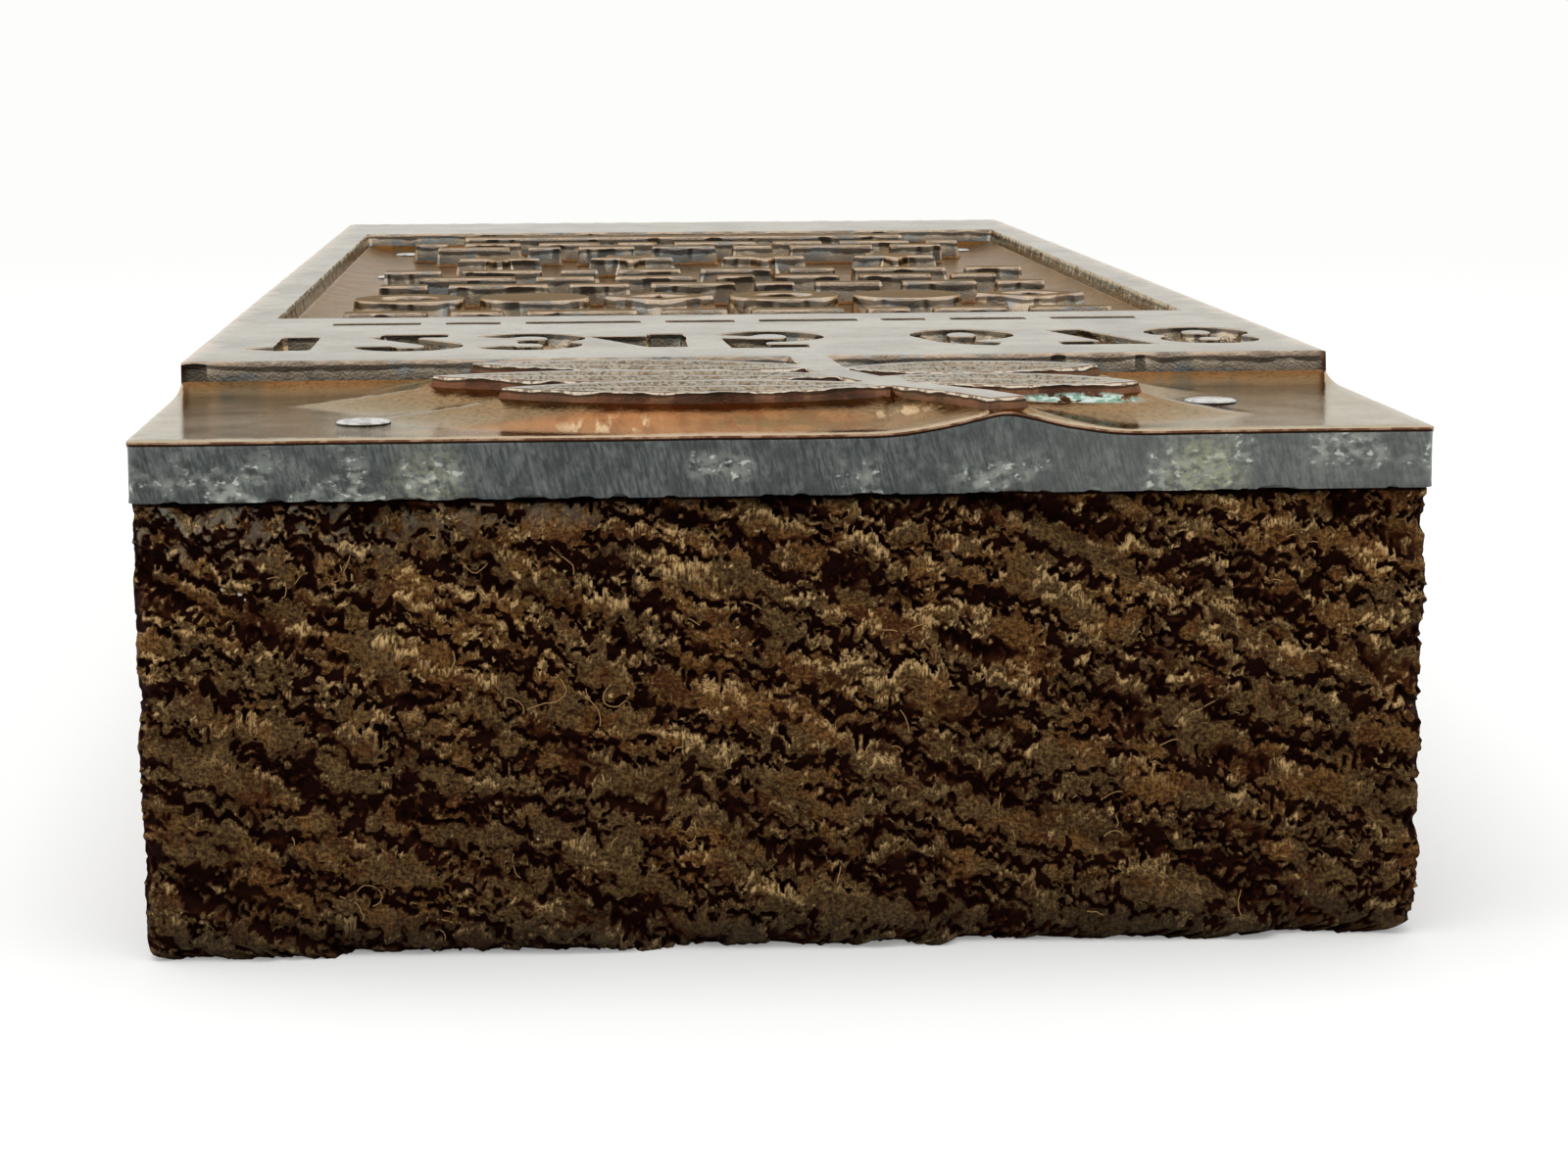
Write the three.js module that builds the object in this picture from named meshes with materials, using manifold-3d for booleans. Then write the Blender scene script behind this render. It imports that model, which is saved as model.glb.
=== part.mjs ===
// A letterpress printing block: an electrotype plate nailed to a type-high wooden base.
// Millimetres, +Z up. The printing face looks up, the base stands on Z = 0, and the origin
// is the centre of the underside. The low apron in front of the title band faces -Y.

import * as THREE from "three";
import { mergeVertices } from "three/addons/utils/BufferGeometryUtils.js";
import Module from "manifold-3d";

const wasm = await Module();
wasm.setup();

// The whole block
const blockWidth = 54;
const blockLength = 140;
const typeHeight = 23.32;

// Wooden base
const plateThickness = 3.9;
const baseCornerRadius = 0.6;
const baseCornerSteps = 4;
const baseEdgeEase = 0.3;

// Torn end grain: rows that slope down to the right, each deep where it starts and proud at
// its upper edge
const tearDepth = 0.8;
const tearPitch = 5.8;
const tearStep = 0.6;
const tearSlopeShare = 0.07;

// Electrotype: a copper shell, then a film of solder left as a gap, then cast backing metal
const reliefHeight = 1.36;
const shellThickness = 0.25;
const solderFilm = 0.03;
const wallDraft = 0.12;
const wallFoot = 0.8;
const wallFootShares = [
  [0, 1],
  [0.13, 0.5],
  [1, 0],
];

// How deep, front to back, each field of the printing face is
const apronDepth = 20;
const bandDepth = 24.5;
const farBandDepth = 15;
const sideRuleWidth = 2.4;

// Numerals sunk in the title band, upside down as a compositor sees type
const numerals = ["1", "2", "3", "4", "5", " ", "6", "7", "8"];
const numeralHeight = 9.3;
const numeralWidth = 5.3;
const numeralStroke = 1.9;
const numeralSink = 0.95;
const numeralDraft = 0.15;
const numeralRowInset = 1.6;
const numeralFrontInset = 4.3;
const wordSpace = 3.6;
const bowlSteps = 7;

// Small dashes, sunk in the band and raised in the panel
const dashHeight = 1.5;
const dashWidths = [4.6, 2.9, 6.1, 3.7, 5.2, 2.4, 4.1];
const dashGap = 1.3;
const dashDraft = 0.1;
const dashSink = 0.6;
const sunkDashBackInset = 4.4;
const rowInset = 3.2;

// Bold figures in the panel
const ornamentSize = 6.4;
const ornamentRing = 1.5;
const ornamentCount = 6;
const ornamentKinds = [
  { sides: 20, open: true },
  { sides: 20, open: false },
  { sides: 4, open: true },
];
const starSize = 6.2;
const starCount = 4;
const starPoints = 5;
const starWaistShare = 0.45;
const barHeight = 2.4;
const barNailGap = 3;

// Places of the panel's rows, as shares of the panel's length from its near end
const dashRowShares = [0.045, 0.3, 0.38, 0.46, 0.77, 0.83];
const ornamentRowShare = 0.17;
const starRowShare = 0.62;
const barRowShare = 0.93;

// Leaf spray on the apron: root and tip as shares of the half width and of the apron's depth
const sprayShares = [
  { root: [0.12, 0.62], tip: [-0.53, 0.86] },
  { root: [0.16, 0.4], tip: [-0.5, 0.46] },
  { root: [0.18, 0.22], tip: [-0.3, 0.14] },
  { root: [0.14, 0.42], tip: [0.56, 0.26] },
  { root: [0.1, 0.62], tip: [0.53, 0.82] },
];
const stemShares = [
  [0.34, 0.015],
  [0.3, 0.14],
  [0.18, 0.38],
  [0.1, 0.65],
  [0.08, 1.05],
];
const leafWidth = 5.2;
const leafRim = 0.5;
const leafRib = 0.45;
const leafSink = 0.12;
const leafDiscSides = 40;
const stemWidth = 1.8;

// Wire nails: a flat head on the plate's floor, a round shank and a point
const nailHeadRadius = 1.18;
const nailHeadThickness = 0.32;
const nailHeadEase = 0.08;
const nailShankRadius = 0.6;
const nailLength = 14;
const nailTipLength = 1.8;
const nailBoreClearance = 0.06;
const nailSides = 16;
const nearLeftNailInset = { side: 9.3, front: 5.7 };
const nearRightNailInset = { side: 7.5, front: 10.3 };
const panelNailInset = 6;

// Modelling values: how far a cutter runs past a face, where vertices count as one,
// and how thin a sliver a join or cut may leave
const overrun = 1;
const weldTolerance = 1e-4;
const sliverTolerance = 2e-3;
const sharpestMitreShare = 0.3;

// Places that follow from the sizes above
const TURN = 2 * Math.PI;
const halfWidth = blockWidth / 2;
const halfLength = blockLength / 2;
const baseHeight = typeHeight - plateThickness;
const floorZ = typeHeight - reliefHeight;
const skin = shellThickness + solderFilm;
const bandFront = apronDepth - halfLength;
const panelNear = bandFront + bandDepth;
const panelFar = halfLength - farBandDepth;
const panelHalfWidth = halfWidth - sideRuleWidth;
const rowHalfWidth = panelHalfWidth - rowInset;
const nailX = halfWidth - panelNailInset;
const nailRowHalfWidth = nailX - nailHeadRadius - barNailGap;

const v2 = (x, y) => new THREE.Vector2(x, y);
const panelY = (share) => panelNear + share * (panelFar - panelNear);
const onApron = ([x, y]) => v2(x * halfWidth, y * apronDepth - halfLength);

// Solids for booleans

function toSolid(geometry) {
  const bare = new THREE.BufferGeometry();
  bare.setAttribute("position", geometry.getAttribute("position"));
  bare.setIndex(geometry.index);
  const merged = mergeVertices(bare, weldTolerance);
  const vertProperties = new Float32Array(merged.attributes.position.array);
  const triVerts = new Uint32Array(merged.index.array);
  return new wasm.Manifold(
    new wasm.Mesh({ numProp: 3, vertProperties, triVerts, tolerance: sliverTolerance }),
  );
}

function toGeometry(solid) {
  const { vertProperties, triVerts } = solid.getMesh();
  const geometry = new THREE.BufferGeometry();
  geometry.setAttribute("position", new THREE.BufferAttribute(new Float32Array(vertProperties), 3));
  geometry.setIndex(new THREE.BufferAttribute(new Uint32Array(triVerts), 1));
  return geometry;
}

const joined = (solids) => solids.reduce((a, b) => a.add(b));

function box(x0, x1, y0, y1, z0, z1) {
  const geometry = new THREE.BoxGeometry(x1 - x0, y1 - y0, z1 - z0);
  geometry.translate((x0 + x1) / 2, (y0 + y1) / 2, (z0 + z1) / 2);
  return toSolid(geometry);
}

// Outlines: a list of loops, the first one counter-clockwise and any holes clockwise

function wound(points, clockwise) {
  const isClockwise = THREE.ShapeUtils.area(points) < 0;
  return isClockwise === clockwise ? points : points.slice().reverse();
}

function outline(outer, hole) {
  return hole ? [wound(outer, false), wound(hole, true)] : [wound(outer, false)];
}

// Moves a path to its right by a distance, with mitred corners.
function shifted(path, distance, closed) {
  const count = path.length;
  return path.map((point, i) => {
    const before = path[closed ? (i + count - 1) % count : Math.max(i - 1, 0)];
    const after = path[closed ? (i + 1) % count : Math.min(i + 1, count - 1)];
    const a = i > 0 || closed ? point.clone().sub(before) : after.clone().sub(point);
    const b = i + 1 < count || closed ? after.clone().sub(point) : a.clone();
    a.normalize();
    b.normalize();
    const normal = v2(a.y + b.y, -a.x - b.x).normalize();
    const mitre = Math.max(normal.x * a.y - normal.y * a.x, sharpestMitreShare);
    return point.clone().addScaledVector(normal, distance / mitre);
  });
}

function stroke(centre, width, closed = false) {
  const right = shifted(centre, width / 2, closed);
  const left = shifted(centre, -width / 2, closed);
  if (closed) {
    const [rightArea, leftArea] = [right, left].map((side) => Math.abs(THREE.ShapeUtils.area(side)));
    return rightArea > leftArea ? outline(right, left) : outline(left, right);
  }
  return outline([...right, ...left.reverse()]);
}

function rectangle(x0, x1, y0, y1) {
  return outline([v2(x0, y0), v2(x1, y0), v2(x1, y1), v2(x0, y1)]);
}

// Points along an elliptical arc between two shares of a turn
function arc(cx, cy, rx, ry, from, to, steps) {
  return Array.from({ length: steps + 1 }, (_, i) => {
    const angle = (from + ((to - from) * i) / steps) * TURN;
    return v2(cx + rx * Math.cos(angle), cy + ry * Math.sin(angle));
  });
}

function ring(x, y, radius, sides) {
  return arc(x, y, radius, radius, 0, 1, sides).slice(1);
}

// A solid whose section at each level, [z, growth], is the outline grown by that much.
function loft(loops, levels) {
  const layers = levels.map(([z, growth]) =>
    loops.flatMap((loop) => shifted(loop, growth, true).map((p) => [p.x, p.y, z])),
  );
  const count = layers[0].length;
  const faces = [];
  for (let level = 0; level + 1 < layers.length; level++) {
    let start = level * count;
    for (const loop of loops) {
      for (let i = 0; i < loop.length; i++) {
        const a = start + i;
        const b = start + ((i + 1) % loop.length);
        faces.push([a, b, b + count], [a, b + count, a + count]);
      }
      start += loop.length;
    }
  }
  const top = (layers.length - 1) * count;
  for (const [a, b, c] of THREE.ShapeUtils.triangulateShape(loops[0], loops.slice(1))) {
    faces.push([c, b, a], [top + a, top + b, top + c]);
  }
  const geometry = new THREE.BufferGeometry();
  const positions = new Float32Array(layers.flat(2));
  geometry.setAttribute("position", new THREE.BufferAttribute(positions, 3));
  geometry.setIndex(faces.flat());
  return toSolid(geometry);
}

// Relief. Each figure is made once for the face and again, deeper by an inset, for the
// underside of the shell and for the backing metal below it.

// A raised figure with steep walls
function raised(loops, inset) {
  return loft(loops, [
    [floorZ - inset - shellThickness, wallDraft - inset],
    [typeHeight - inset, -inset],
  ]);
}

// The levels of a steep wall that runs out into the floor in a hollow foot
function footedLevels(inset, side) {
  const floor = floorZ - inset;
  const levels = wallFootShares.map(([rise, reach]) => [
    floor + rise * wallFoot,
    side * (wallDraft + reach * wallFoot - inset),
  ]);
  return [...levels, [typeHeight - inset, -side * inset]];
}

// A cutter for a sunk figure, narrower at its bottom
function sunk(loops, inset, depth, draft) {
  return loft(loops, [
    [typeHeight - inset - depth, inset - draft],
    [typeHeight + overrun, inset],
  ]);
}

// A centred row of rectangles, as many of the given widths as the row holds
function dashRow(y, first) {
  const taken = [];
  let run = -dashGap;
  for (let i = first; run + dashGap + dashWidths[i % dashWidths.length] <= 2 * rowHalfWidth; i++) {
    const width = dashWidths[i % dashWidths.length];
    taken.push(width);
    run += dashGap + width;
  }
  let x = -run / 2;
  return taken.map((width) => {
    const dash = rectangle(x, x + width, y - dashHeight / 2, y + dashHeight / 2);
    x += width + dashGap;
    return dash;
  });
}

function spacedRow(count, half, size, make) {
  const pitch = (2 * half - size) / (count - 1);
  return Array.from({ length: count }, (_, i) => make(size / 2 - half + i * pitch, i));
}

// Numeral centrelines, as shares of the cell: x to the right and y up, as read in print
function numeralStrokeShares(numeral) {
  const n = bowlSteps;
  const p = v2;
  const loop = (cy, rx, ry) => ({ closed: true, path: arc(0.5, cy, rx, ry, 0, 1, 2 * n).slice(1) });
  const line = (...path) => ({ closed: false, path });
  const strokes = {
    1: () => [line(p(0.6, 1), p(0.6, 0)), line(p(0.1, 0.76), p(0.62, 0.94))],
    2: () => [line(...arc(0.5, 0.74, 0.5, 0.26, 0.5, -0.06, n), p(0.05, 0.03)), line(p(0, 0), p(1, 0))],
    3: () => [
      line(...arc(0.45, 0.76, 0.5, 0.24, 0.45, -0.3, n)),
      line(...arc(0.45, 0.26, 0.55, 0.26, 0.29, -0.45, n)),
    ],
    4: () => [line(p(0.7, 0), p(0.7, 1)), line(p(0.66, 0.95), p(0, 0.3), p(1, 0.3))],
    5: () => [
      line(p(0.95, 1), p(0.1, 1), p(0.05, 0.55), ...arc(0.45, 0.3, 0.55, 0.3, 0.27, -0.45, n)),
    ],
    6: () => [loop(0.3, 0.5, 0.3), line(...arc(0.92, 0.3, 0.84, 0.7, 0.26, 0.47, n))],
    7: () => [line(p(0, 1), p(1, 1), p(0.35, 0))],
    8: () => [loop(0.77, 0.44, 0.23), loop(0.27, 0.5, 0.27)],
  };
  return strokes[numeral]();
}

function numeralOutlines() {
  const figures = numerals.filter((n) => n !== " ").length;
  const spaces = numerals.length - figures;
  const half = halfWidth - numeralRowInset;
  const pitch = (2 * half - numeralWidth - spaces * wordSpace) / (figures - 1);
  const cell = v2(numeralWidth - numeralStroke, numeralHeight - numeralStroke);
  const headY = bandFront + numeralFrontInset + numeralStroke / 2;
  let x = numeralStroke / 2 - half;
  const found = [];
  for (const numeral of numerals) {
    if (numeral !== " ") {
      for (const { closed, path } of numeralStrokeShares(numeral)) {
        const placed = path.map((p) => v2(x + p.x * cell.x, headY + (1 - p.y) * cell.y));
        found.push(stroke(placed, numeralStroke, closed));
      }
    }
    x += numeral === " " ? wordSpace : pitch;
  }
  return found;
}

// Rings, discs and open lozenges by turns
function ornament(x, y, index) {
  const { sides, open } = ornamentKinds[index % ornamentKinds.length];
  const radius = ornamentSize / 2;
  const hole = open ? ring(x, y, radius - ornamentRing, sides) : undefined;
  return outline(ring(x, y, radius, sides), hole);
}

function star(x, y) {
  const points = Array.from({ length: 2 * starPoints }, (_, i) => {
    const reach = (starSize / 2) * (i % 2 ? starWaistShare : 1);
    const angle = (i / (2 * starPoints) - 1 / 4) * TURN;
    return v2(x + reach * Math.cos(angle), y + reach * Math.sin(angle));
  });
  return outline(points);
}

// A leaf is where two equal discs overlap. Its radius follows from its length and width.
function leaf({ root, tip }) {
  const start = onApron(root);
  const along = onApron(tip).sub(start);
  const length = along.length();
  const radius = (length ** 2 + leafWidth ** 2) / (4 * leafWidth);
  const middle = start.clone().addScaledVector(along, 1 / 2);
  const aside = v2(-along.y, along.x).normalize();
  const centres = [1, -1].map((side) =>
    middle.clone().addScaledVector(aside, side * (radius - leafWidth / 2)),
  );
  const discs = centres.map((c) => outline(ring(c.x, c.y, radius, leafDiscSides)));
  return { discs, rib: stroke([start, start.clone().add(along)], leafRib) };
}

const leaves = sprayShares.map(leaf);
const stem = stroke(stemShares.map(onApron), stemWidth);

// The leaves, and a stem whose hollow foot runs out over the plate's near edge
function spray(inset) {
  const blades = leaves.map(({ discs }) => {
    const [a, b] = discs.map((disc) => raised(disc, inset));
    return a.intersect(b);
  });
  return joined([...blades, loft(stem, footedLevels(inset, 1))]);
}

// The shallow hollows of a leaf, either side of its rib
function leafHollows() {
  const stalk = sunk(stem, leafRim, leafSink, 0);
  return leaves.map(({ discs, rib }) => {
    const [a, b] = discs.map((disc) => sunk(disc, -leafRim, leafSink - leafRim, 0));
    return a.intersect(b).subtract(sunk(rib, 0, leafSink, 0)).subtract(stalk);
  });
}

const numeralCuts = numeralOutlines();
const sunkDashes = dashRow(panelNear - sunkDashBackInset, 0);
const raisedDashes = dashRowShares.flatMap((share, i) => dashRow(panelY(share), i));
const ornamentY = panelY(ornamentRowShare);
const starY = panelY(starRowShare);
const barY = panelY(barRowShare);
const boldFigures = [
  ...spacedRow(ornamentCount, rowHalfWidth, ornamentSize, (x, i) => ornament(x, ornamentY, i)),
  ...spacedRow(starCount, nailRowHalfWidth, starSize, (x) => star(x, starY)),
  rectangle(-nailRowHalfWidth, nailRowHalfWidth, barY - barHeight / 2, barY + barHeight / 2),
];

// Title band, side rules and far band: one raised frame round the panel
function frameRelief(inset) {
  const past = halfWidth + overrun;
  const band = rectangle(-past, past, bandFront, halfLength + overrun);
  const panel = rectangle(-panelHalfWidth, panelHalfWidth, panelNear, panelFar);
  const opening = [...footedLevels(inset, -1), [typeHeight + overrun, inset]];
  return loft(band, footedLevels(inset, 1)).subtract(loft(panel, opening));
}

// Everything under a surface that lies an inset below the printing face
function underFace(inset, bottomZ) {
  const past = [halfWidth + overrun, halfLength + overrun];
  const slab = box(-past[0], past[0], -past[1], past[1], bottomZ, floorZ - inset);
  const parts = [
    slab,
    frameRelief(inset),
    spray(inset),
    ...boldFigures.map((loops) => raised(loops, inset)),
    ...raisedDashes.map((loops) => raised(loops, inset)),
  ];
  const cuts = [
    ...numeralCuts.map((loops) => sunk(loops, inset, numeralSink, numeralDraft)),
    ...sunkDashes.map((loops) => sunk(loops, inset, dashSink, dashDraft)),
  ];
  return joined(parts).subtract(joined(cuts));
}

// Nails

const nailPlaces = {
  nail_near_left: v2(nearLeftNailInset.side - halfWidth, nearLeftNailInset.front - halfLength),
  nail_near_right: v2(halfWidth - nearRightNailInset.side, nearRightNailInset.front - halfLength),
  nail_middle_left: v2(-nailX, starY),
  nail_middle_right: v2(nailX, starY),
  nail_far_left: v2(-nailX, barY),
  nail_far_right: v2(nailX, barY),
};

function nailGeometry() {
  const tipZ = floorZ - nailLength;
  const headZ = floorZ + nailHeadThickness;
  const profile = [
    v2(0, tipZ),
    v2(nailShankRadius, tipZ + nailTipLength),
    v2(nailShankRadius, floorZ),
    v2(nailHeadRadius, floorZ),
    v2(nailHeadRadius, headZ - nailHeadEase),
    v2(nailHeadRadius - nailHeadEase, headZ),
    v2(0, headZ),
  ];
  return new THREE.LatheGeometry(profile, nailSides).rotateX(TURN / 4);
}

function nailBores() {
  const bottomZ = floorZ - nailLength - nailBoreClearance;
  const height = typeHeight + overrun - bottomZ;
  const radius = nailShankRadius + nailBoreClearance;
  return Object.values(nailPlaces).map(({ x, y }) => {
    const bore = new THREE.CylinderGeometry(radius, radius, height, nailSides);
    bore.rotateX(TURN / 4).translate(x, y, bottomZ + height / 2);
    return toSolid(bore);
  });
}

const bores = joined(nailBores());

// The three layers

function footprint(z0, z1) {
  return box(-halfWidth, halfWidth, -halfLength, halfLength, z0, z1);
}

function roundedCorners(width, length, radius) {
  const corners = [
    [1, 1],
    [-1, 1],
    [-1, -1],
    [1, -1],
  ];
  return corners.flatMap(([sx, sy], i) =>
    arc(
      sx * (width / 2 - radius),
      sy * (length / 2 - radius),
      radius,
      radius,
      i / 4,
      (i + 1) / 4,
      baseCornerSteps,
    ),
  );
}

// A comb of wedges that tears the rows into the near end. Its teeth are drawn with the depth
// as x and the height across the rows as y, then drawn out along the rows and tilted.
function tearComb() {
  const reach = Math.hypot(halfWidth, baseHeight / 2);
  const rows = Math.ceil(reach / tearPitch);
  const last = rows * tearPitch;
  const teeth = Array.from({ length: 2 * rows }, (_, i) => {
    const edge = i * tearPitch - last;
    return [v2(0, edge), v2(tearDepth, edge + tearStep)];
  });
  const profile = [v2(-overrun, -last), ...teeth.flat(), v2(0, last), v2(-overrun, last)];
  const shape = new THREE.Shape(profile);
  const comb = new THREE.ExtrudeGeometry(shape, { depth: 2 * reach, bevelEnabled: false });
  comb.translate(0, 0, -reach);
  const tilt = tearSlopeShare * TURN;
  const inward = new THREE.Vector3(0, 1, 0);
  const across = new THREE.Vector3(Math.sin(tilt), 0, Math.cos(tilt));
  const along = inward.clone().cross(across);
  comb.applyMatrix4(new THREE.Matrix4().makeBasis(inward, across, along));
  return comb.translate(0, -halfLength, baseHeight / 2);
}

function woodBase() {
  const block = loft(outline(roundedCorners(blockWidth, blockLength, baseCornerRadius)), [
    [0, -baseEdgeEase],
    [baseEdgeEase, 0],
    [baseHeight - baseEdgeEase, 0],
    [baseHeight, -baseEdgeEase],
  ]);
  const nearTear = tearComb();
  const farTear = nearTear.clone().rotateZ(TURN / 2);
  return block.subtract(toSolid(nearTear)).subtract(toSolid(farTear)).subtract(bores);
}

function backingPlate() {
  return underFace(skin, baseHeight).intersect(footprint(baseHeight, typeHeight)).subtract(bores);
}

function copperShell() {
  const outer = underFace(0, floorZ - shellThickness).subtract(joined(leafHollows()));
  const inner = underFace(shellThickness, floorZ - shellThickness - overrun);
  const shell = outer.subtract(inner);
  return shell.intersect(footprint(floorZ - shellThickness, typeHeight)).subtract(bores);
}

// The object

function piece(name, geometry, color, roughness, metalness) {
  const material = new THREE.MeshStandardMaterial({ color, roughness, metalness });
  const mesh = new THREE.Mesh(geometry, material);
  mesh.name = name;
  return mesh;
}

const printingBlock = new THREE.Group();
printingBlock.name = "printing_block";
printingBlock.add(
  piece("wood_base", toGeometry(woodBase()), "#4c3321", 0.9, 0),
  piece("backing_plate", toGeometry(backingPlate()), "#6a7072", 0.55, 0.8),
  piece("copper_shell", toGeometry(copperShell()), "#a58a70", 0.35, 1),
);
for (const [name, place] of Object.entries(nailPlaces)) {
  const nail = piece(name, nailGeometry(), "#7d7f80", 0.4, 1);
  nail.position.set(place.x, place.y, 0);
  printingBlock.add(nail);
}

export default printingBlock;
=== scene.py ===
# %% [markdown]
# A letterpress printing block: an electrotype plate nailed to a type-high block of wood.
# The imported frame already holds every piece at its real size. This notebook dresses it:
# torn end grain on the wood, sawn edges on the cast metal, and a worn copper printing face.

# %% Load the frame
import math
from functools import partial

import bpy
import numpy as np
from mathutils import Matrix, Vector
from mathutils.geometry import delaunay_2d_cdt, tessellate_polygon


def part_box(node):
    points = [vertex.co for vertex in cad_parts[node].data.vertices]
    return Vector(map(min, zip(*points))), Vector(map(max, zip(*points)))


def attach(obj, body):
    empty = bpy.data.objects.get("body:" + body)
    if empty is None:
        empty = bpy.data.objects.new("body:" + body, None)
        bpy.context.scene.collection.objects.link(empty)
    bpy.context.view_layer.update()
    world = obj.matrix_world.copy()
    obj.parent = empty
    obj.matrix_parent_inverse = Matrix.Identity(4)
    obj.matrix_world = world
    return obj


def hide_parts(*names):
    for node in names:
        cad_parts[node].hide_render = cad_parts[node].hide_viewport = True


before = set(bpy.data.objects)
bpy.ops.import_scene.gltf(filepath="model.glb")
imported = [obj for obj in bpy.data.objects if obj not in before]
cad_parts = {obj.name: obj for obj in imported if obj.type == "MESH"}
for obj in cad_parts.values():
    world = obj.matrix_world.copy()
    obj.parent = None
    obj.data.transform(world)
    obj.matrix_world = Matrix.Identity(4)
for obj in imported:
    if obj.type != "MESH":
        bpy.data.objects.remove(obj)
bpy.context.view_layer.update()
BODY = "root"
print("nodes:", sorted(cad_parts))

# %% [markdown]
# Sizes are easiest to read in millimetres, while Blender works in metres. So every size below
# is in millimetres, measured from the frame where it can be, and one factor turns it to metres.

# %% Measure the frame
MM = 0.001


def box_mm(node):
    low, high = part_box(node)
    return np.array(low) / MM, np.array(high) / MM


wood_high = box_mm("wood_base")[1]
plate_low = box_mm("backing_plate")[0]
shell_low, shell_high = box_mm("copper_shell")
half_width = wood_high[0]
half_length = wood_high[1]
wood_top = wood_high[2]
type_height = shell_high[2]
shell_thickness = 0.25
solder_film = 0.03
floor_z = shell_low[2] + shell_thickness
print(f"block {2 * half_width:.1f} x {2 * half_length:.1f} x {type_height:.2f} mm, floor at {floor_z:.2f}")

# %% [markdown]
# The photograph was taken from just in front of the near end, a little above the plate. The
# camera could be placed by eye, but a pinhole solved from the block's corners gives its place
# and its turn exactly, so those numbers are used as they are.

# %% Camera
IMAGE_WIDTH_PIXELS = 1600
FOCAL_PIXELS = 3300
SENSOR_MM = 36
camera_place = Vector((-8.9, -201.5, 37.6)) * MM
yaw, pitch, roll = (math.radians(angle) for angle in (3.77, 9.31, -0.24))

ahead = Vector((math.sin(yaw) * math.cos(pitch), math.cos(yaw) * math.cos(pitch), -math.sin(pitch)))
level_right = Vector((math.cos(yaw), -math.sin(yaw), 0))
level_up = level_right.cross(ahead)
right = math.cos(roll) * level_right + math.sin(roll) * level_up
up = math.cos(roll) * level_up - math.sin(roll) * level_right

camera_data = bpy.data.cameras.new("photo_camera")
camera_data.sensor_width = SENSOR_MM
camera_data.lens = FOCAL_PIXELS / IMAGE_WIDTH_PIXELS * SENSOR_MM
camera_data.clip_start = 0.005
camera = bpy.data.objects.new("photo_camera", camera_data)
camera.matrix_world = Matrix.Translation(camera_place) @ Matrix((right, up, -ahead)).transposed().to_4x4()
bpy.context.scene.collection.objects.link(camera)
bpy.context.scene.camera = camera
print(f"lens {camera_data.lens:.2f} mm, {camera_place.length:.3f} m from the origin")

# %% [markdown]
# Colours are picked as sRGB hex values, the way a paint program shows them. Blender mixes in
# linear light, so one function turns them. One more small function adds any shader node. It
# takes values and links in the order of the sockets, or by name, and the node's own options.

# %% Colour and node helpers
USUAL_SETTINGS = {"MapRange": {"interpolation_type": "SMOOTHSTEP"}, "Mix": {"data_type": "RGBA"}}


def linear(hex_colour):
    channels = [int(hex_colour[i : i + 2], 16) / 255 for i in (1, 3, 5)]
    return [c / 12.92 if c <= 0.04045 else ((c + 0.055) / 1.055) ** 2.4 for c in channels] + [1]


def add_node(tree, kind, *values, named=None, out=None, **settings):
    """Adds a node, and gives the output that is asked for or else the first one."""
    node = tree.nodes.new("ShaderNode" + kind)
    for name, setting in {**USUAL_SETTINGS.get(kind, {}), **settings}.items():
        setattr(node, name, setting)
    filled = list(zip((socket for socket in node.inputs if socket.enabled), values))
    filled += [(node.inputs[name], value) for name, value in (named or {}).items()]
    for socket, value in filled:
        if isinstance(value, bpy.types.NodeSocket):
            tree.links.new(value, socket)
        else:
            socket.default_value = linear(value) if isinstance(value, str) else value
    return node.outputs[out] if out else next((s for s in node.outputs if s.enabled), None)


def start_tree(owner):
    """Empties the nodes of a material or the world, and returns the function that adds to them."""
    owner.use_nodes = True
    owner.node_tree.nodes.clear()
    return partial(add_node, owner.node_tree)


def start_material(name, *meshes):
    material = bpy.data.materials.new(name)
    for mesh in meshes:
        mesh.materials.append(material)
    add = start_tree(material)
    return add, add("TexCoord", out="Object")

# %% [markdown]
# The block stands on white paper in a light tent: bright above and behind, dim in front where
# the camera stands. Lamps alone would give hard glints on the copper, so the world carries the
# light, as a soft gradient, and one broad lamp only adds a little modelling. The far paper
# glows for rays that look at it, so that no horizon shows, while the shadow by the block stays.

# %% Floor, world and lamp
BACKGROUND_RAYS = ("Is Camera Ray", "Is Glossy Ray", "Is Transmission Ray")
FLOOR_RADIUS, FLOOR_SIDES = 4.0, 96
FRONT_LIGHT, BACK_LIGHT = 0.05, 1.0


def looking_rays(add):
    """One for rays that look at the background, straight or by way of metal or glass."""
    camera_ray, glossy_ray, through_glass = (add("LightPath", out=ray) for ray in BACKGROUND_RAYS)
    either = add("Math", camera_ray, glossy_ray, operation="MAXIMUM")
    return camera_ray, add("Math", either, through_glass, operation="MAXIMUM")


turns = [i * math.tau / FLOOR_SIDES for i in range(FLOOR_SIDES)]
floor_rim = [(FLOOR_RADIUS * math.cos(turn), FLOOR_RADIUS * math.sin(turn), 0) for turn in turns]
floor_mesh = bpy.data.meshes.new("studio_floor")
floor_mesh.from_pydata(floor_rim, [], [list(range(FLOOR_SIDES))])
studio_floor = bpy.data.objects.new("studio_floor", floor_mesh)
bpy.context.scene.collection.objects.link(studio_floor)

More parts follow.
